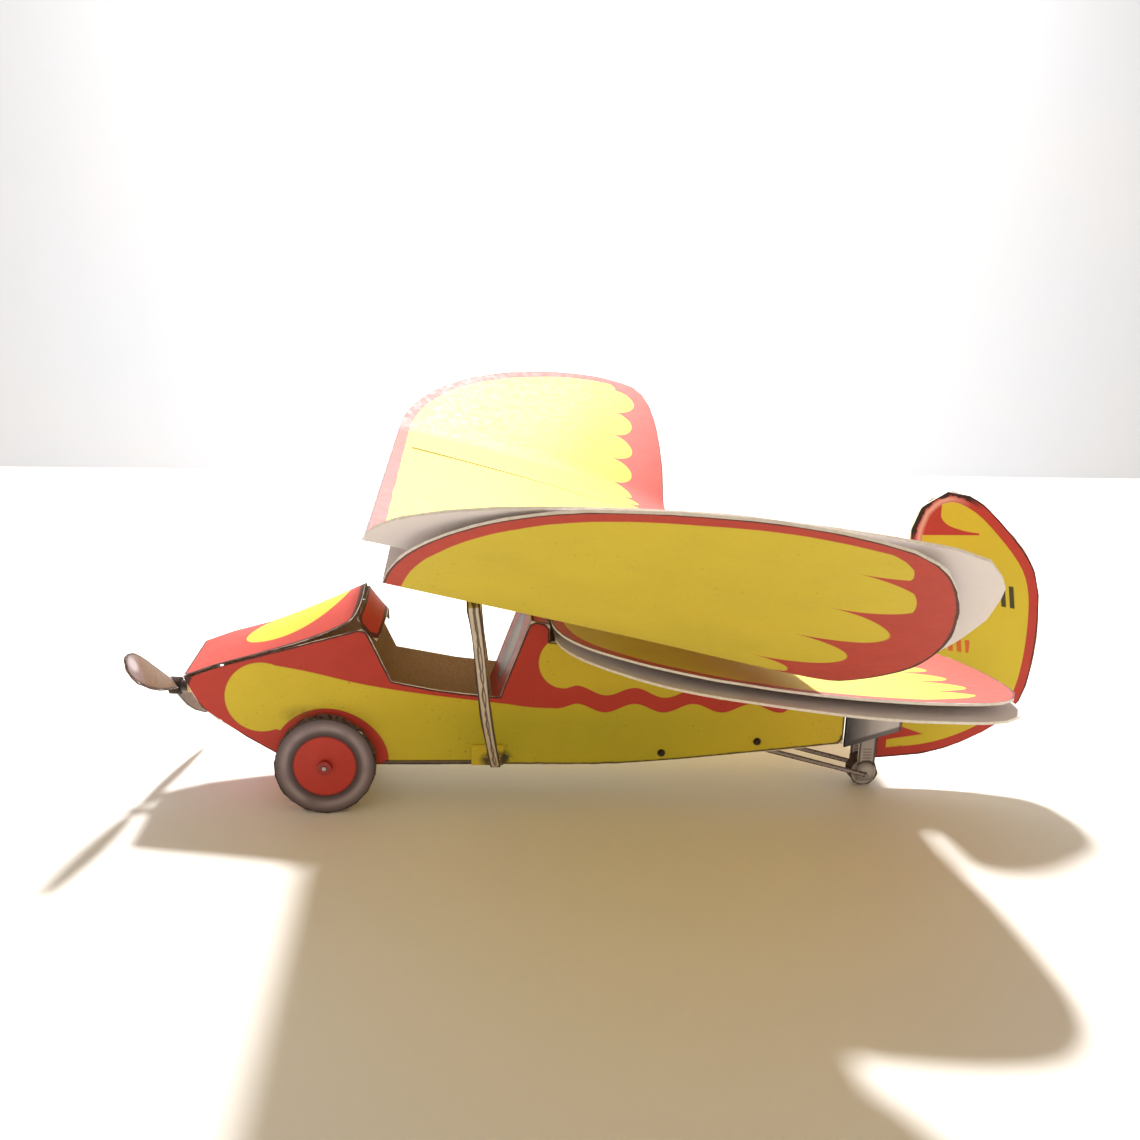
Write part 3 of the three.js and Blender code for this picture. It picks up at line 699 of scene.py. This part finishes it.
def fold(out, angle, soft):
    """Where a sheet is, level and up, that bends by the angle over twice the soft distance."""
    if out <= -soft:
        return out, 0.0
    turn = 2 * soft / angle
    part = min(1.0, (out + soft) / (2 * soft)) * angle
    level, up = -soft + turn * sin(part), turn * (1 - cos(part))
    if out > soft:
        level += (out - soft) * cos(angle)
        up += (out - soft) * sin(angle)
    return level, up


def wing_outline(wing, part):
    crease, size = wing["crease"], part["end"] - part["start"]
    steps = 46
    line = []
    for k in range(steps + 1):
        share = k / steps
        t = share - 0.12 * sin(2 * pi * share)
        line.append(Vector((part["start"] + size * t, crease + part["tip"] * tip_reach(t))))
    return line + [Vector((p.x, -p.y)) for p in reversed(line)]


def wing_shape(wing, part, seed):
    """Puts a point of the flat sheet, by chord and span, in place on the wing."""
    angle = radians(wing["incidence"])
    bend = radians(wing["dihedral"])
    size = part["end"] - part["start"]

    def shape(chord, span):
        t = clamp((chord - part["start"]) / size)
        out = abs(span) - wing["crease"]
        level, up = fold(out, bend, FOLD_SOFT)
        outward = clamp(out / part["tip"])
        bulge = part["port" if span > 0 else "starboard"] * outward
        if span > 0:
            bulge += part.get("swell", 0) * sin(pi * outward**0.7)
        pushed = chord + t**3 * (part["skew"] * span + bulge)
        wander = noise.noise(Vector((chord * 0.045, span * 0.04, seed))) * 0.35
        peel = part.get("peel", 0) * t**3 * outward**2 * (span > 0)
        height = sheet_height(part, t, outward) + peel + up + wander
        y = copysign(wing["crease"] + level, span)
        aft = wing["aft"] + pushed * cos(angle) + height * sin(angle)
        z = wing["z"] - pushed * sin(angle) + height * cos(angle)
        return Vector((DATUM_X - aft, y, z))

    return shape


REAR_FEATHERS = (57.0, 49.5, 6.3, 40.4, (1.5, 2.2))
FEATHERS = {
    name: wing_print(f"{name}_print", *sizes) for name, sizes in (
        ("front_wing_lower", (57.5, 49.3, 10.8, 64.9, (1.8, 2.5))),
        ("front_wing_upper", (54.8, 48.8, 9.0, 62.3, (1.6, 2.5))),
        ("rear_wing_lower", REAR_FEATHERS),
        ("rear_wing_upper", REAR_FEATHERS),
    )
}

for number, (sheet, wing, level) in enumerate((
    ("front_wing_lower", FRONT_WING, "lower"), ("front_wing_upper", FRONT_WING, "upper"),
    ("rear_wing_lower", REAR_WING, "lower"), ("rear_wing_upper", REAR_WING, "upper"),
)):
    piece = cut_card(
        f"{sheet}_card", wing_outline(wing, wing[level]), wing_shape(wing, wing[level], number),
        (FEATHERS[sheet], BACK, CUT), flip=level == "upper", step=2.0, cuts=(2.6, 0.06),
        seed=10 + number,
    )
    fit(piece, "airframe", "printed_card", f"{sheet}_sheet")

FRONT_TOP = wing_shape(FRONT_WING, FRONT_WING["upper"], 1)
RIDGE_LENGTH, RIDGE_HEIGHT = 52, 0.5


def ridge_shape(chord, height):
    """A pinched crease that stands up from the starboard half of the front wing."""
    span = -(31.8 + 14 * (chord / 50 - 0.4) ** 2)
    return FRONT_TOP(chord, span) + Vector((0, 0, CARD / 2 - 0.1 + height * (1 - chord / 80)))


ridge_loop = oblong((0, 0), (RIDGE_LENGTH, RIDGE_HEIGHT), 0.6)
# Dark olive on the crease strip: painted shade of the fold.
CREASE_SHADE = one_colour_card("crease_painted_shade", ink(112, 106, 22), ink(84, 78, 14), 0.1)
ridge = cut_card(
    "front_wing_crease", ridge_loop, ridge_shape, (CREASE_SHADE, BACK, BACK), flip=True,
    thickness=0.12, step=0.6, cuts=(6, 0.02), seed=95,
)
fit(ridge, "airframe", "printed_card")

# ---- Fuselage sides and deck ----
AXLE_BORE = 0.55


def side_outline():
    loop = bow((NOSE_AFT, NOSE_TOP), (4.4, 20.6), (9, 17.2))
    loop += bow((18, 11.6), (22.5, KEEL_Z), (31, KEEL_Z))
    loop += bow((76, KEEL_Z), (85, KEEL_Z), (98, 9.8))
    corners = ((TAIL_AFT, 12.8), (TAIL_AFT, 31.05), (70.2, 32.9), (70.2, 36.2), (66.7, 37))
    loop += [Vector(p) for p in corners]
    loop += bow((61.2, 22.1), (50, 22.9), (41, 25.2))
    loop += bow((41, 25.2), (38.5, 30.4), (36.6, 34.4))[1:]
    return loop + [Vector((CREST_AFT, CREST_Z)), Vector(KNEE)]


def round_hole(centre, size, count=20):
    return [
        Vector((centre[0] + size * cos(a), centre[1] + size * sin(a)))
        for a in (2 * pi * k / count for k in range(count))
    ]


SIDE_HOLES = [
    round_hole((WHEEL["aft"], WHEEL["z"]), AXLE_BORE),
    round_hole(REAR_PIN, PIN_BORE),
    round_hole(FRONT_PIN, PIN_BORE),
]
SIDE_PRINT = side_print()
DIVIDED_SIDE = divided(side_outline(), 1.2)
for name, side in SIDES:
    def side_shape(aft, z, side=side):
        wander = noise.noise(Vector((aft * 0.05, z * 0.06, 3.3 * side))) * 0.10
        return Vector((DATUM_X - aft, side * (HALF - PAPER / 2 + wander), z))

    piece = cut_card(
        f"fuselage_side_{name}_card", DIVIDED_SIDE, side_shape, (SIDE_PRINT, SHADED_INSIDE, INKED),
        holes=SIDE_HOLES, flip=side < 0, thickness=PAPER, step=1.5, cuts=(9, 0.07), seed=20 + side,
    )
    fit(piece, "airframe", "printed_card", f"fuselage_side_{name}")


DECK_CROWN = 5.3  # how far the deck arches up at its crest
DECK_RISE = 0.02
PULL_AHEAD, PULL_UP = 1.8, 1.5


def deck_share(aft):
    return clamp((aft - NOSE_AFT) / (CREST_AFT - NOSE_AFT))


def deck_pull(aft, y):
    """How far, from 0 to 1, the deck has come away from the port side near the cockpit."""
    return deck_share(aft) ** 5 * max(0.0, y / HALF) ** 3


def deck_height(aft, across):
    if aft < KNEE[0]:
        edge = NOSE_TOP + (KNEE[1] - NOSE_TOP) * (aft - NOSE_AFT) / (KNEE[0] - NOSE_AFT)
    else:
        edge = KNEE[1] + (CREST_Z - KNEE[1]) * (aft - KNEE[0]) / (CREST_AFT - KNEE[0])
    crown = DECK_CROWN * deck_share(aft) ** 1.3 * (1 - across**2)
    return edge + DECK_RISE + CARD / 2 + crown + PULL_UP * deck_pull(aft, across * HALF)


def deck_shape(aft, y):
    ahead = PULL_AHEAD * deck_pull(aft, y)
    return Vector((DATUM_X - aft + ahead, y, deck_height(aft, y / HALF)))


deck_loop = oblong((NOSE_AFT, -HALF), (CREST_AFT, HALF), 1.2)
deck = cut_card(
    "nose_deck_card", deck_loop, deck_shape, (deck_print(), SHADED_INSIDE, INKED), flip=True,
    thickness=PAPER, step=1.4, cuts=(8, 0.06), seed=30,
)
fit(deck, "airframe", "printed_card", "nose_deck")


FLAP_LENGTH, FLAP_HALF = 5, 10


def flap_shape(down, y):
    share = down / FLAP_LENGTH
    edge = deck_height(CREST_AFT, y / HALF) + CARD / 2
    back = 0.45 + 3.1 * share + 0.5 * share * share
    return Vector((
        DATUM_X - CREST_AFT - back + PULL_AHEAD * deck_pull(CREST_AFT, y),
        y * (1 - 0.06 * share),
        edge - CARD - 0.25 - 4.4 * share,
    ))


flap_loop = oblong((0, -FLAP_HALF), (FLAP_LENGTH, FLAP_HALF), 1.2)
flap = cut_card(
    "coaming_flap_card", flap_loop, flap_shape,
    (one_colour_card("flap_print", RED, RED_DEEP, 0.6), BACK, INKED), flip=True, thickness=PAPER,
    step=1.2, cuts=(4, 0.16), seed=31,
)
fit(flap, "airframe", "red_card", "coaming_flap")

# ---- Rudder ----
rudder_edge = [
    (137.2, 5.5), (146.7, 6.4), (153.8, 8.4), (160.4, 11.8), (164.2, 15.2), (166.3, 19.6),
    (167.3, 26), (167.4, 34), (166.5, 41.5), (163.5, 47.7), (156, 55.8), (151, 59.2),
    (147.4, 60.1), (144.3, 59.2), (141.6, 56.6),
]
rudder_front = [Vector(p) for p in ((140.3, 52.6), (140.3, 12.2), (137.4, 11.2))]
rudder_loop = divided(spline(rudder_edge) + rudder_front, 1.2)
RUDDER_PRINT = rudder_print()
for name, side in SIDES:
    def rudder_shape(aft, z, side=side):
        spread = 0.27 + 0.12 * max(0, (aft - 146) / 20) ** 2
        wander = noise.noise(Vector((aft * 0.06, z * 0.06, 9))) * 0.25 * (aft > 142)
        return Vector((DATUM_X - aft, side * spread + wander, z))

    piece = cut_card(
        f"rudder_{name}_card", rudder_loop, rudder_shape, (RUDDER_PRINT, BACK, CUT),
        flip=side < 0, step=1.6, cuts=(3.8, 0.12), seed=40 + side,
    )
    fit(piece, "rudder", "printed_card", f"rudder_skin_{name}")

# ---- Wheels ----
WHEEL_PRINT = wheel_print("wheel_print", WHEEL["radius"], 5.8, RED, TYRE)
TAIL_PRINT = wheel_print("tail_wheel_print", TAIL_WHEEL["radius"], 1.2, PALE_GREY, PALE_GREY)


def disc_card(name, wheel, y, outward, material, cuts, seed):
    def shape(u, v):
        return Vector((DATUM_X - wheel["aft"] - u, y, wheel["z"] + v))

    rim = round_hole((0, 0), wheel["radius"], 90)
    return cut_card(
        name, rim, shape, (material, INKED, INKED), holes=[round_hole((0, 0), wheel["bore"], 16)],
        flip=outward < 0, thickness=PAPER, step=wheel["radius"] * 0.14, cuts=cuts, seed=seed,
    )


for name, side in SIDES:
    for depth, facing in (("inner", -1), ("outer", 1)):
        start = WHEEL_FACES[depth] + CARD / 2
        piece = disc_card(
            f"wheel_{name}_{depth}_card", WHEEL, side * start, side * facing, WHEEL_PRINT,
            (3.4, 0.10), 50 + 2 * side + facing,
        )
        fit(piece, f"{name}_wheel", "wheel_card", f"wheel_{name}_{depth}_disc")
    piece = disc_card(
        f"tail_wheel_{name}_card", TAIL_WHEEL, side * (TAIL_FACES + CARD / 2), side, TAIL_PRINT,
        (1.6, 0.05), 60 + side,
    )
    fit(piece, "tail_wheel", "grey_card", f"tail_wheel_{name}_disc")


# ---- Propeller ----
def blade_share(out):
    return (out - PROP_ROOT) / (PROP_RADIUS - PROP_ROOT)


def blade_width(out):
    share = blade_share(out)
    width = 2.4 + 4.2 * sin(0.78 * pi * share)
    return width * sqrt(max(0, 1 - (0.985 * share) ** 10))


blade_outs = [
    PROP_ROOT + (PROP_RADIUS - PROP_ROOT) * (1 - (1 - k / 40) ** 1.6) for k in range(41)
]
blade_line = [Vector((out, blade_width(out) / 2)) for out in blade_outs]
blade_loop = divided(blade_line + [Vector((p.x, -p.y)) for p in reversed(blade_line)], 0.8)
BLADE_PRINT = blade_print()
hub_turn = Matrix.Rotation(-SIDE_THRUST, 3, "Z")
for letter, half_turn in (("a", 0.0), ("b", pi)):
    turn = hub_turn @ Matrix.Rotation(PROP_REST + half_turn, 3, "X")

    def blade_shape(out, across, turn=turn):
        pitch = radians(ROOT_PITCH + (TIP_PITCH - ROOT_PITCH) * blade_share(out))
        local = Vector((across * sin(pitch) - 0.2, out, across * cos(pitch) + 0.1))
        return HUB + turn @ local

    piece = cut_card(
        f"propeller_blade_{letter}_card", blade_loop, blade_shape,
        (BLADE_PRINT, BLADE_PRINT, INKED), step=1.0, cuts=(3, 0.06), seed=70 + int(half_turn),
    )
    fit(piece, "propeller", "propeller_card", f"propeller_blade_{letter}")

# ---- Struts ----
STRUT_PRINT = strut_print()
STRUT_HALF = 0.95
STRUT_TAB = 5  # glued under the wing
FOOT = Vector((60.5, HALF + 1.4, 8.9))
TOP = Vector((54.8, FRONT_WING["crease"] - 0.7, 52.9))
strut_length = (TOP - FOOT).length
strut_loop = oblong((0, -STRUT_HALF), (strut_length + STRUT_TAB, STRUT_HALF), 1.2)
for name, side in SIDES:
    def strut_shape(along, across, side=side):
        share = min(1.0, along / strut_length)
        point = FOOT.lerp(TOP, share)
        tab = max(0.0, along - strut_length)
        sag = 0.5 * sin(pi * share) + 0.25 * sin(7 * share)
        return Vector((
            DATUM_X - point.x + across + 0.3 * sin(5 * share),
            side * (point.y - tab - sag),
            point.z,
        ))

    piece = cut_card(
        f"wing_strut_{name}_card", strut_loop, strut_shape, (STRUT_PRINT, STRUT_PRINT, INKED),
        thickness=0.6, step=0.6, cuts=(4, 0.08), seed=80 + side,
    )
    fit(piece, "airframe", "bare_card", f"wing_strut_{name}")


# ---- Tail arms ----
ARM_Y = 3.1
ARM_LINE = [Vector(p) for p in ((103.6, 9.45), (111.5, 9.2), (135.0, 2.9))]
ARM_PRINT = arm_print()


def arm_loop(line, half):
    """The outline of a narrow strip that follows the line."""
    over, under = [], []
    for i, point in enumerate(line):
        run = (line[min(i + 1, len(line) - 1)] - line[max(i - 1, 0)]).normalized()
        across = Vector((-run.y, run.x)) * half
        over.append(point + across)
        under.append(point - across)
    return divided(under + over[::-1], 1.0)


for name, side in SIDES:
    piece = cut_card(
        f"tail_arm_{name}_strip", arm_loop(ARM_LINE, 0.42),
        lambda aft, z, side=side: Vector((DATUM_X - aft, side * ARM_Y, z)),
        (ARM_PRINT, ARM_PRINT, INKED), flip=side < 0, step=0.4, cuts=(6, 0.03), seed=90 + side,
    )
    fit(piece, "airframe", "grey_card", f"tail_arm_{name}")


# ---- Rubber band ----
HOOK_BEHIND = 13.5  # from the hub back to the hook


def band_piece():
    """Two flat strands of rubber, looped round the hook in front and the peg behind."""
    front = HUB + hub_turn @ Vector((-HOOK_BEHIND, 0, 0)) + Vector((-0.15, 0, 0))
    rear = Vector((DATUM_X - 110.35, 0, REAR_PIN[1]))
    back = (rear - front).normalized()
    level = back.cross(Vector((0, 0, 1))).normalized()
    lift = level.cross(back)
    loop_r, wide, thick = 1.0, 0.8, 0.5
    turns, strand = 12, 60
    path = []
    for here, there, way in ((front, rear, 1), (rear, front, -1)):
        for k in range(turns + 1):
            a = way * pi / 2 + pi * k / turns
            path.append(here + back * (loop_r * cos(a)) + lift * (loop_r * sin(a)))
        for k in range(1, strand):
            path.append(here.lerp(there, k / strand) - lift * (way * loop_r))
    verts, faces = [], []
    for i, point in enumerate(path):
        along = (path[(i + 1) % len(path)] - path[i - 1]).normalized()
        out = along.cross(level).normalized()
        for a, b in ((1, 1), (-1, 1), (-1, -1), (1, -1)):
            verts.append((point + level * (a * wide / 2) + out * (b * thick / 2)) * MM)
        start, after = 4 * i, 4 * ((i + 1) % len(path))
        faces += [
            (start + k, start + (k + 1) % 4, after + (k + 1) % 4, after + k) for k in range(4)
        ]
    mesh = bpy.data.meshes.new("rubber_band_strands")
    mesh.from_pydata(verts, [], faces)
    mesh.materials.append(rubber())
    mesh.polygons.foreach_set("use_smooth", [True] * len(faces))
    mesh.set_sharp_from_angle(angle=radians(50))
    piece = add("rubber_band_strands", mesh)
    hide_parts("rubber_band")
    return piece, front * MM, rear * MM


def rubber():
    paint = Paint("rubber")
    paint.mottle(ink(178, 128, 76), ink(140, 92, 50), 1.2, 0.5, 100, detail=3)
    paint.bump(paint.noise(0.3, seed=101), 0.04, 0.6)
    return paint.done(rough=0.7, specular=0.3)


band, band_front, band_rear = band_piece()
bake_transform(band)
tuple(band_rear)
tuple(band_front)


# ---- Finishes for the pieces that are kept as they are ----
def dress(material, *nodes):
    for node in nodes:
        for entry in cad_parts[node].material_slots:
            entry.link = "OBJECT"
            entry.material = material


def bare_faces(paint, behind, beside, limit=0.6):
    """The unprinted back of a card, and its cut edges."""
    paint.coat(REVERSE, behind).coat(EDGE, beside.size().over(limit, 0.1))


def cheek_print():
    paint = Paint("cheek_print")
    aft, y, z = paint.place()
    _, ny, nz = paint.split(paint.facing)
    share = (aft - CHEEK_AFT) / CHEEK_LENGTH
    paint.coat(BLACK).coat(GREY, share.over(0.25, 0.4)).coat(PALE_GREY, share.over(0.55, 0.4))
    paint.coat(BLACK, share.over(0.965, 0.02) * 0.8)
    paint.coat(BLACK, z.under(13.0, 0.4).either(z.over(30.2, 0.3)) * 0.8)
    bare_faces(paint, (y * ny).under(0, 0.5), nz)
    return card_relief(paint).done(rough=0.5)


def belly_print():
    paint = Paint("belly_print")
    aft, y, _ = paint.place()
    _, ny, nz = paint.split(paint.facing)
    paint.mottle(YELLOW, YELLOW_DEEP, 10, 0.45, 110)
    paint.coat(RED, aft.under(21.5 + paint.noise(6, 1, seed=111) * 2, 0.3))
    paint.coat(OUTLINE, y.size().over(9.75, 0.2) * 0.75)
    specks(paint, 0.6, 0.64, 112, 0.7)
    bare_faces(paint, nz.over(0.1, 0.2), ny)
    return card_relief(paint).done(rough=0.52)


def nose_print():
    paint = Paint("nose_print")
    _, y, z = paint.place()
    nx, ny, _ = paint.split(paint.facing)
    paint.mottle(TYRE_DARK, BLACK, 2.2, 0.8, 115)
    boss = radius(y, z, (0.8, 20.5), 3.4, 3.4)
    paint.coat(GREY, boss.under(1, 0.06))
    paint.coat(BLACK, (boss - 1).size().under(0.06, 0.05))
    bare_faces(paint, nx.under(-0.1, 0.2), ny)
    return card_relief(paint).done(rough=0.5)


def seat_print():
    paint = Paint("seat_print")
    _, y, z = paint.place()
    nx, ny, _ = paint.split(paint.facing)
    paint.mottle(RED_DEEP, RED, 6, 0.45, 120)
    pad = radius(y, z, (0, 29), 5.6, 6.6)
    paint.coat(ink(120, 104, 106), pad.under(1, 0.03))
    paint.coat(ink(168, 156, 156), radius(y, z, (1.4, 30.6), 3.2, 3.6).under(1, 0.8) * 0.6)
    paint.coat(OUTLINE, (pad - 1).size().under(0.04, 0.03) * 0.9)
    paint.coat(OUTLINE, y.size().over(9.6, 0.2) * 0.8)
    bare_faces(paint, nx.under(-0.1, 0.2), ny, 0.8)
    return card_relief(paint).done(rough=0.5)


def hump_print():
    paint = Paint("hump_print")
    aft, y, _ = paint.place()
    nz = paint.split(paint.facing)[2]
    paint.mottle(RED, RED_DEEP, 3, 0.5, 125)
    paint.coat(OUTLINE, y.size().over(9.7, 0.2).either(aft.over(69.7, 0.2)) * 0.7)
    paint.coat(REVERSE, nz.under(-0.1, 0.2))
    return card_relief(paint).done(rough=0.5)


def tube_print():
    """Card printed as grey tubes, with a light line along the middle."""
    paint = Paint("tube_print")
    ny = paint.split(paint.facing)[1]
    paint.mottle(ink(196, 190, 192), TYRE, 6, 0.6, 130)
    paint.coat(TYRE_DARK, ny.size().under(0.4, 0.2) * 0.75)
    return card_relief(paint).done()


def fork_print():
    paint = Paint("fork_print")
    aft, _, z = paint.place()
    nx = paint.split(paint.facing)[0]
    paint.mottle(PALE_GREY, TYRE, 2, 0.5, 135)
    middle = (aft - TAIL_WHEEL["aft"]).size()
    coil = ((z - 5) / 0.62).op("FRACT").under(0.4, 0.2) * z.between(5.4, 8.6, 0.1)
    paint.coat(TYRE_DARK, coil * middle.under(0.9, 0.15) * 0.55)
    paint.coat(OUTLINE, middle.over(1.3, 0.2) * 0.8)
    paint.coat(BLACK, z.over(11.9, 0.2) * 0.85)
    paint.coat(EDGE, nx.size().over(0.6, 0.2))
    wheel = radius(aft, z, (TAIL_WHEEL["aft"], TAIL_WHEEL["z"]))
    paint.coat(TYRE_DARK, wheel.under(2.9, 0.2) * 0.9).coat(GREY, wheel.under(2.4, 0.4))
    # Pale spot up and aft of the painted wheel's centre: painted highlight.
    paint.coat(PALE_GREY, radius(aft, z, (TAIL_WHEEL["aft"] + 0.3, 3.4), 1.5, 1.2).under(1, 0.8))
    return card_relief(paint).done()


def bare_card():
    paint = Paint("bare_card")
    paint.mottle(REVERSE, ink(190, 172, 150), 4, 0.55, 140, detail=3)
    paint.coat(ink(238, 230, 220), paint.noise(0.4, 3, 0.7, seed=141).over(0.55, 0.3) * 0.4)
    return card_relief(paint).done(rough=0.82, specular=0.2)


def metal(name, bright, dull, rough):
    """Drawn metal with fine scratches and a dull film."""
    paint = Paint(name)
    paint.mottle(bright, dull, 1.1, 0.8, 150, detail=3)
    paint.bump(paint.noise(0.25, 3, 0.7, seed=151), 0.02, 0.6)
    return paint.done(rough=rough, metal=1.0, specular=0.5)


def stained_wood():
    paint = Paint("stained_wood")
    grain = paint.noise(0.35, 4, 0.6, seed=155, stretch=(1, 0.15, 1))
    paint.coat(ink(64, 48, 40)).coat(ink(28, 20, 18), grain.over(0.5, 0.2) * 0.8)
    paint.bump(grain, 0.05, 0.6)
    return paint.done(rough=0.7)


def foot_print():
    """The tab under a wing strut, printed like the side with the end of a tube on it."""
    paint = Paint("foot_print")
    aft, _, z = paint.place()
    paint.mottle(YELLOW, YELLOW_DEEP, 3, 0.5, 137)
    smudge = radius(aft, z, (60.6, 9.7), 2.8, 1.6).under(1, 0.5)
    paint.coat(TYRE_DARK, smudge * paint.noise(0.9, seed=24).over(0.34, 0.2) * 0.9)
    return card_relief(paint).done(rough=0.5)


def bead_plastic(name, colour, deep):
    paint = Paint(name)
    paint.mottle(colour, deep, 1, 0.7, 160)
    paint.bump(paint.noise(0.4, seed=161), 0.01, 0.3)
    return paint.done(rough=0.3, rough_by=0.08, specular=0.5)


dress(cheek_print(), "tail_cheek_left", "tail_cheek_right")
dress(belly_print(), "belly_strip")
dress(nose_print(), "nose_plate")
dress(seat_print(), "seat_back")
dress(hump_print(), "hump_deck")
dress(tube_print(), "tail_wheel_hub")
dress(fork_print(), "tail_fork")
dress(
    bare_card(), "tail_post", "rudder_tab", "wing_pylon", "front_wing_spar", "rear_wing_spar",
    "wheel_left_hub", "wheel_right_hub",
)
dress(foot_print(), "strut_foot_left", "strut_foot_right")
dress(
    metal("steel_wire", ink(196, 198, 204), ink(122, 120, 120), 0.36),
    "main_axle", "tail_axle", "propeller_shaft",
)
dress(metal("brass", ink(214, 178, 98), ink(150, 116, 62), 0.38), "nose_bearing")
dress(stained_wood(), "motor_peg", "belly_pin", "propeller_hub")
dress(
    bead_plastic("red_plastic", ink(176, 46, 38), ink(120, 26, 24)),
    "axle_cap_left", "axle_cap_right",
)
dress(bead_plastic("dark_plastic", ink(66, 52, 50), ink(34, 26, 26)), "thrust_bead")


# ---- Floor, wall, light and camera ----
def stage_plane(name, corners, material):
    mesh = bpy.data.meshes.new(name)
    mesh.from_pydata(corners, [], [(0, 1, 2, 3)])
    mesh.materials.append(material)
    plane = add(name, mesh)
    return plane


def stage_material(name, colour, rough):
    paint = Paint(name)
    paint.mottle(colour, ink(225, 222, 218), 60, 0.3, 90, detail=3)
    paint.link(paint.colour, paint.shader.inputs["Base Color"])
    paint.shader.inputs["Roughness"].default_value = rough
    paint.shader.inputs["Specular IOR Level"].default_value = 0.25
    return paint.material


WALL_Y = -0.374
REACH = 3.0
stage_plane("floor", [
    (-REACH, WALL_Y, 0), (REACH, WALL_Y, 0), (REACH, REACH, 0), (-REACH, REACH, 0)
], stage_material("table_top", ink(246, 244, 240), 0.55))
wall = stage_plane("wall", [
    (-REACH, WALL_Y, 0), (-REACH, WALL_Y, REACH), (REACH, WALL_Y, REACH), (REACH, WALL_Y, 0)
], stage_material("wall_paint", ink(206, 213, 226), 0.8))
wall.visible_shadow = False

LAMP = Vector((-44, -260, 450)) * MM


def lamp(name, place, towards, size, power, colour):
    data = bpy.data.lights.new(name, "AREA")
    data.shape = "DISK"
    data.size = size
    data.energy = power
    data.color = colour
    item = add(name, data)
    item.location = place
    item.visible_camera = False
    item.rotation_mode = "QUATERNION"
    item.rotation_quaternion = towards.to_track_quat("-Z", "Y")


lamp("key", LAMP, -LAMP, 0.06, 5.4, (1, 0.985, 0.965))
fill_at = Vector((0.25, 0.9, 0.55))
lamp("fill", fill_at, -fill_at, 0.9, 1.1, (1, 0.92, 0.8))

world = bpy.data.worlds.new("room")
world.use_nodes = True
sky = next(n for n in world.node_tree.nodes if n.type == "BACKGROUND")
sky.inputs["Color"].default_value = (1.0, 0.82, 0.59, 1)
sky.inputs["Strength"].default_value = 0.5
bpy.context.scene.world = world
bpy.context.scene.view_settings.view_transform = "Standard"

CAMERA_AT = Vector((DATUM_X - 51.79, 223.86, 100.45)) * MM
YAW, PITCH, ROLL = (radians(a) for a in (2.91, 14.16, 1.09))
LENS, SHIFT = 38.2, 0.0526
camera_data = bpy.data.cameras.new("camera")
camera_data.sensor_width = 36
camera_data.lens = LENS
camera_data.shift_x = SHIFT
camera = add("camera", camera_data)
forward = Vector((
    -sin(YAW) * cos(PITCH), -cos(YAW) * cos(PITCH), -sin(PITCH)
))
right = Vector((-cos(YAW), sin(YAW), 0))
up = right.cross(forward)
rolled_right = right * cos(ROLL) + up * sin(ROLL)
rolled_up = up * cos(ROLL) - right * sin(ROLL)
turn = Matrix((rolled_right, rolled_up, -forward)).transposed()
camera.matrix_world = Matrix.Translation(CAMERA_AT) @ turn.to_4x4()
bpy.context.scene.camera = camera
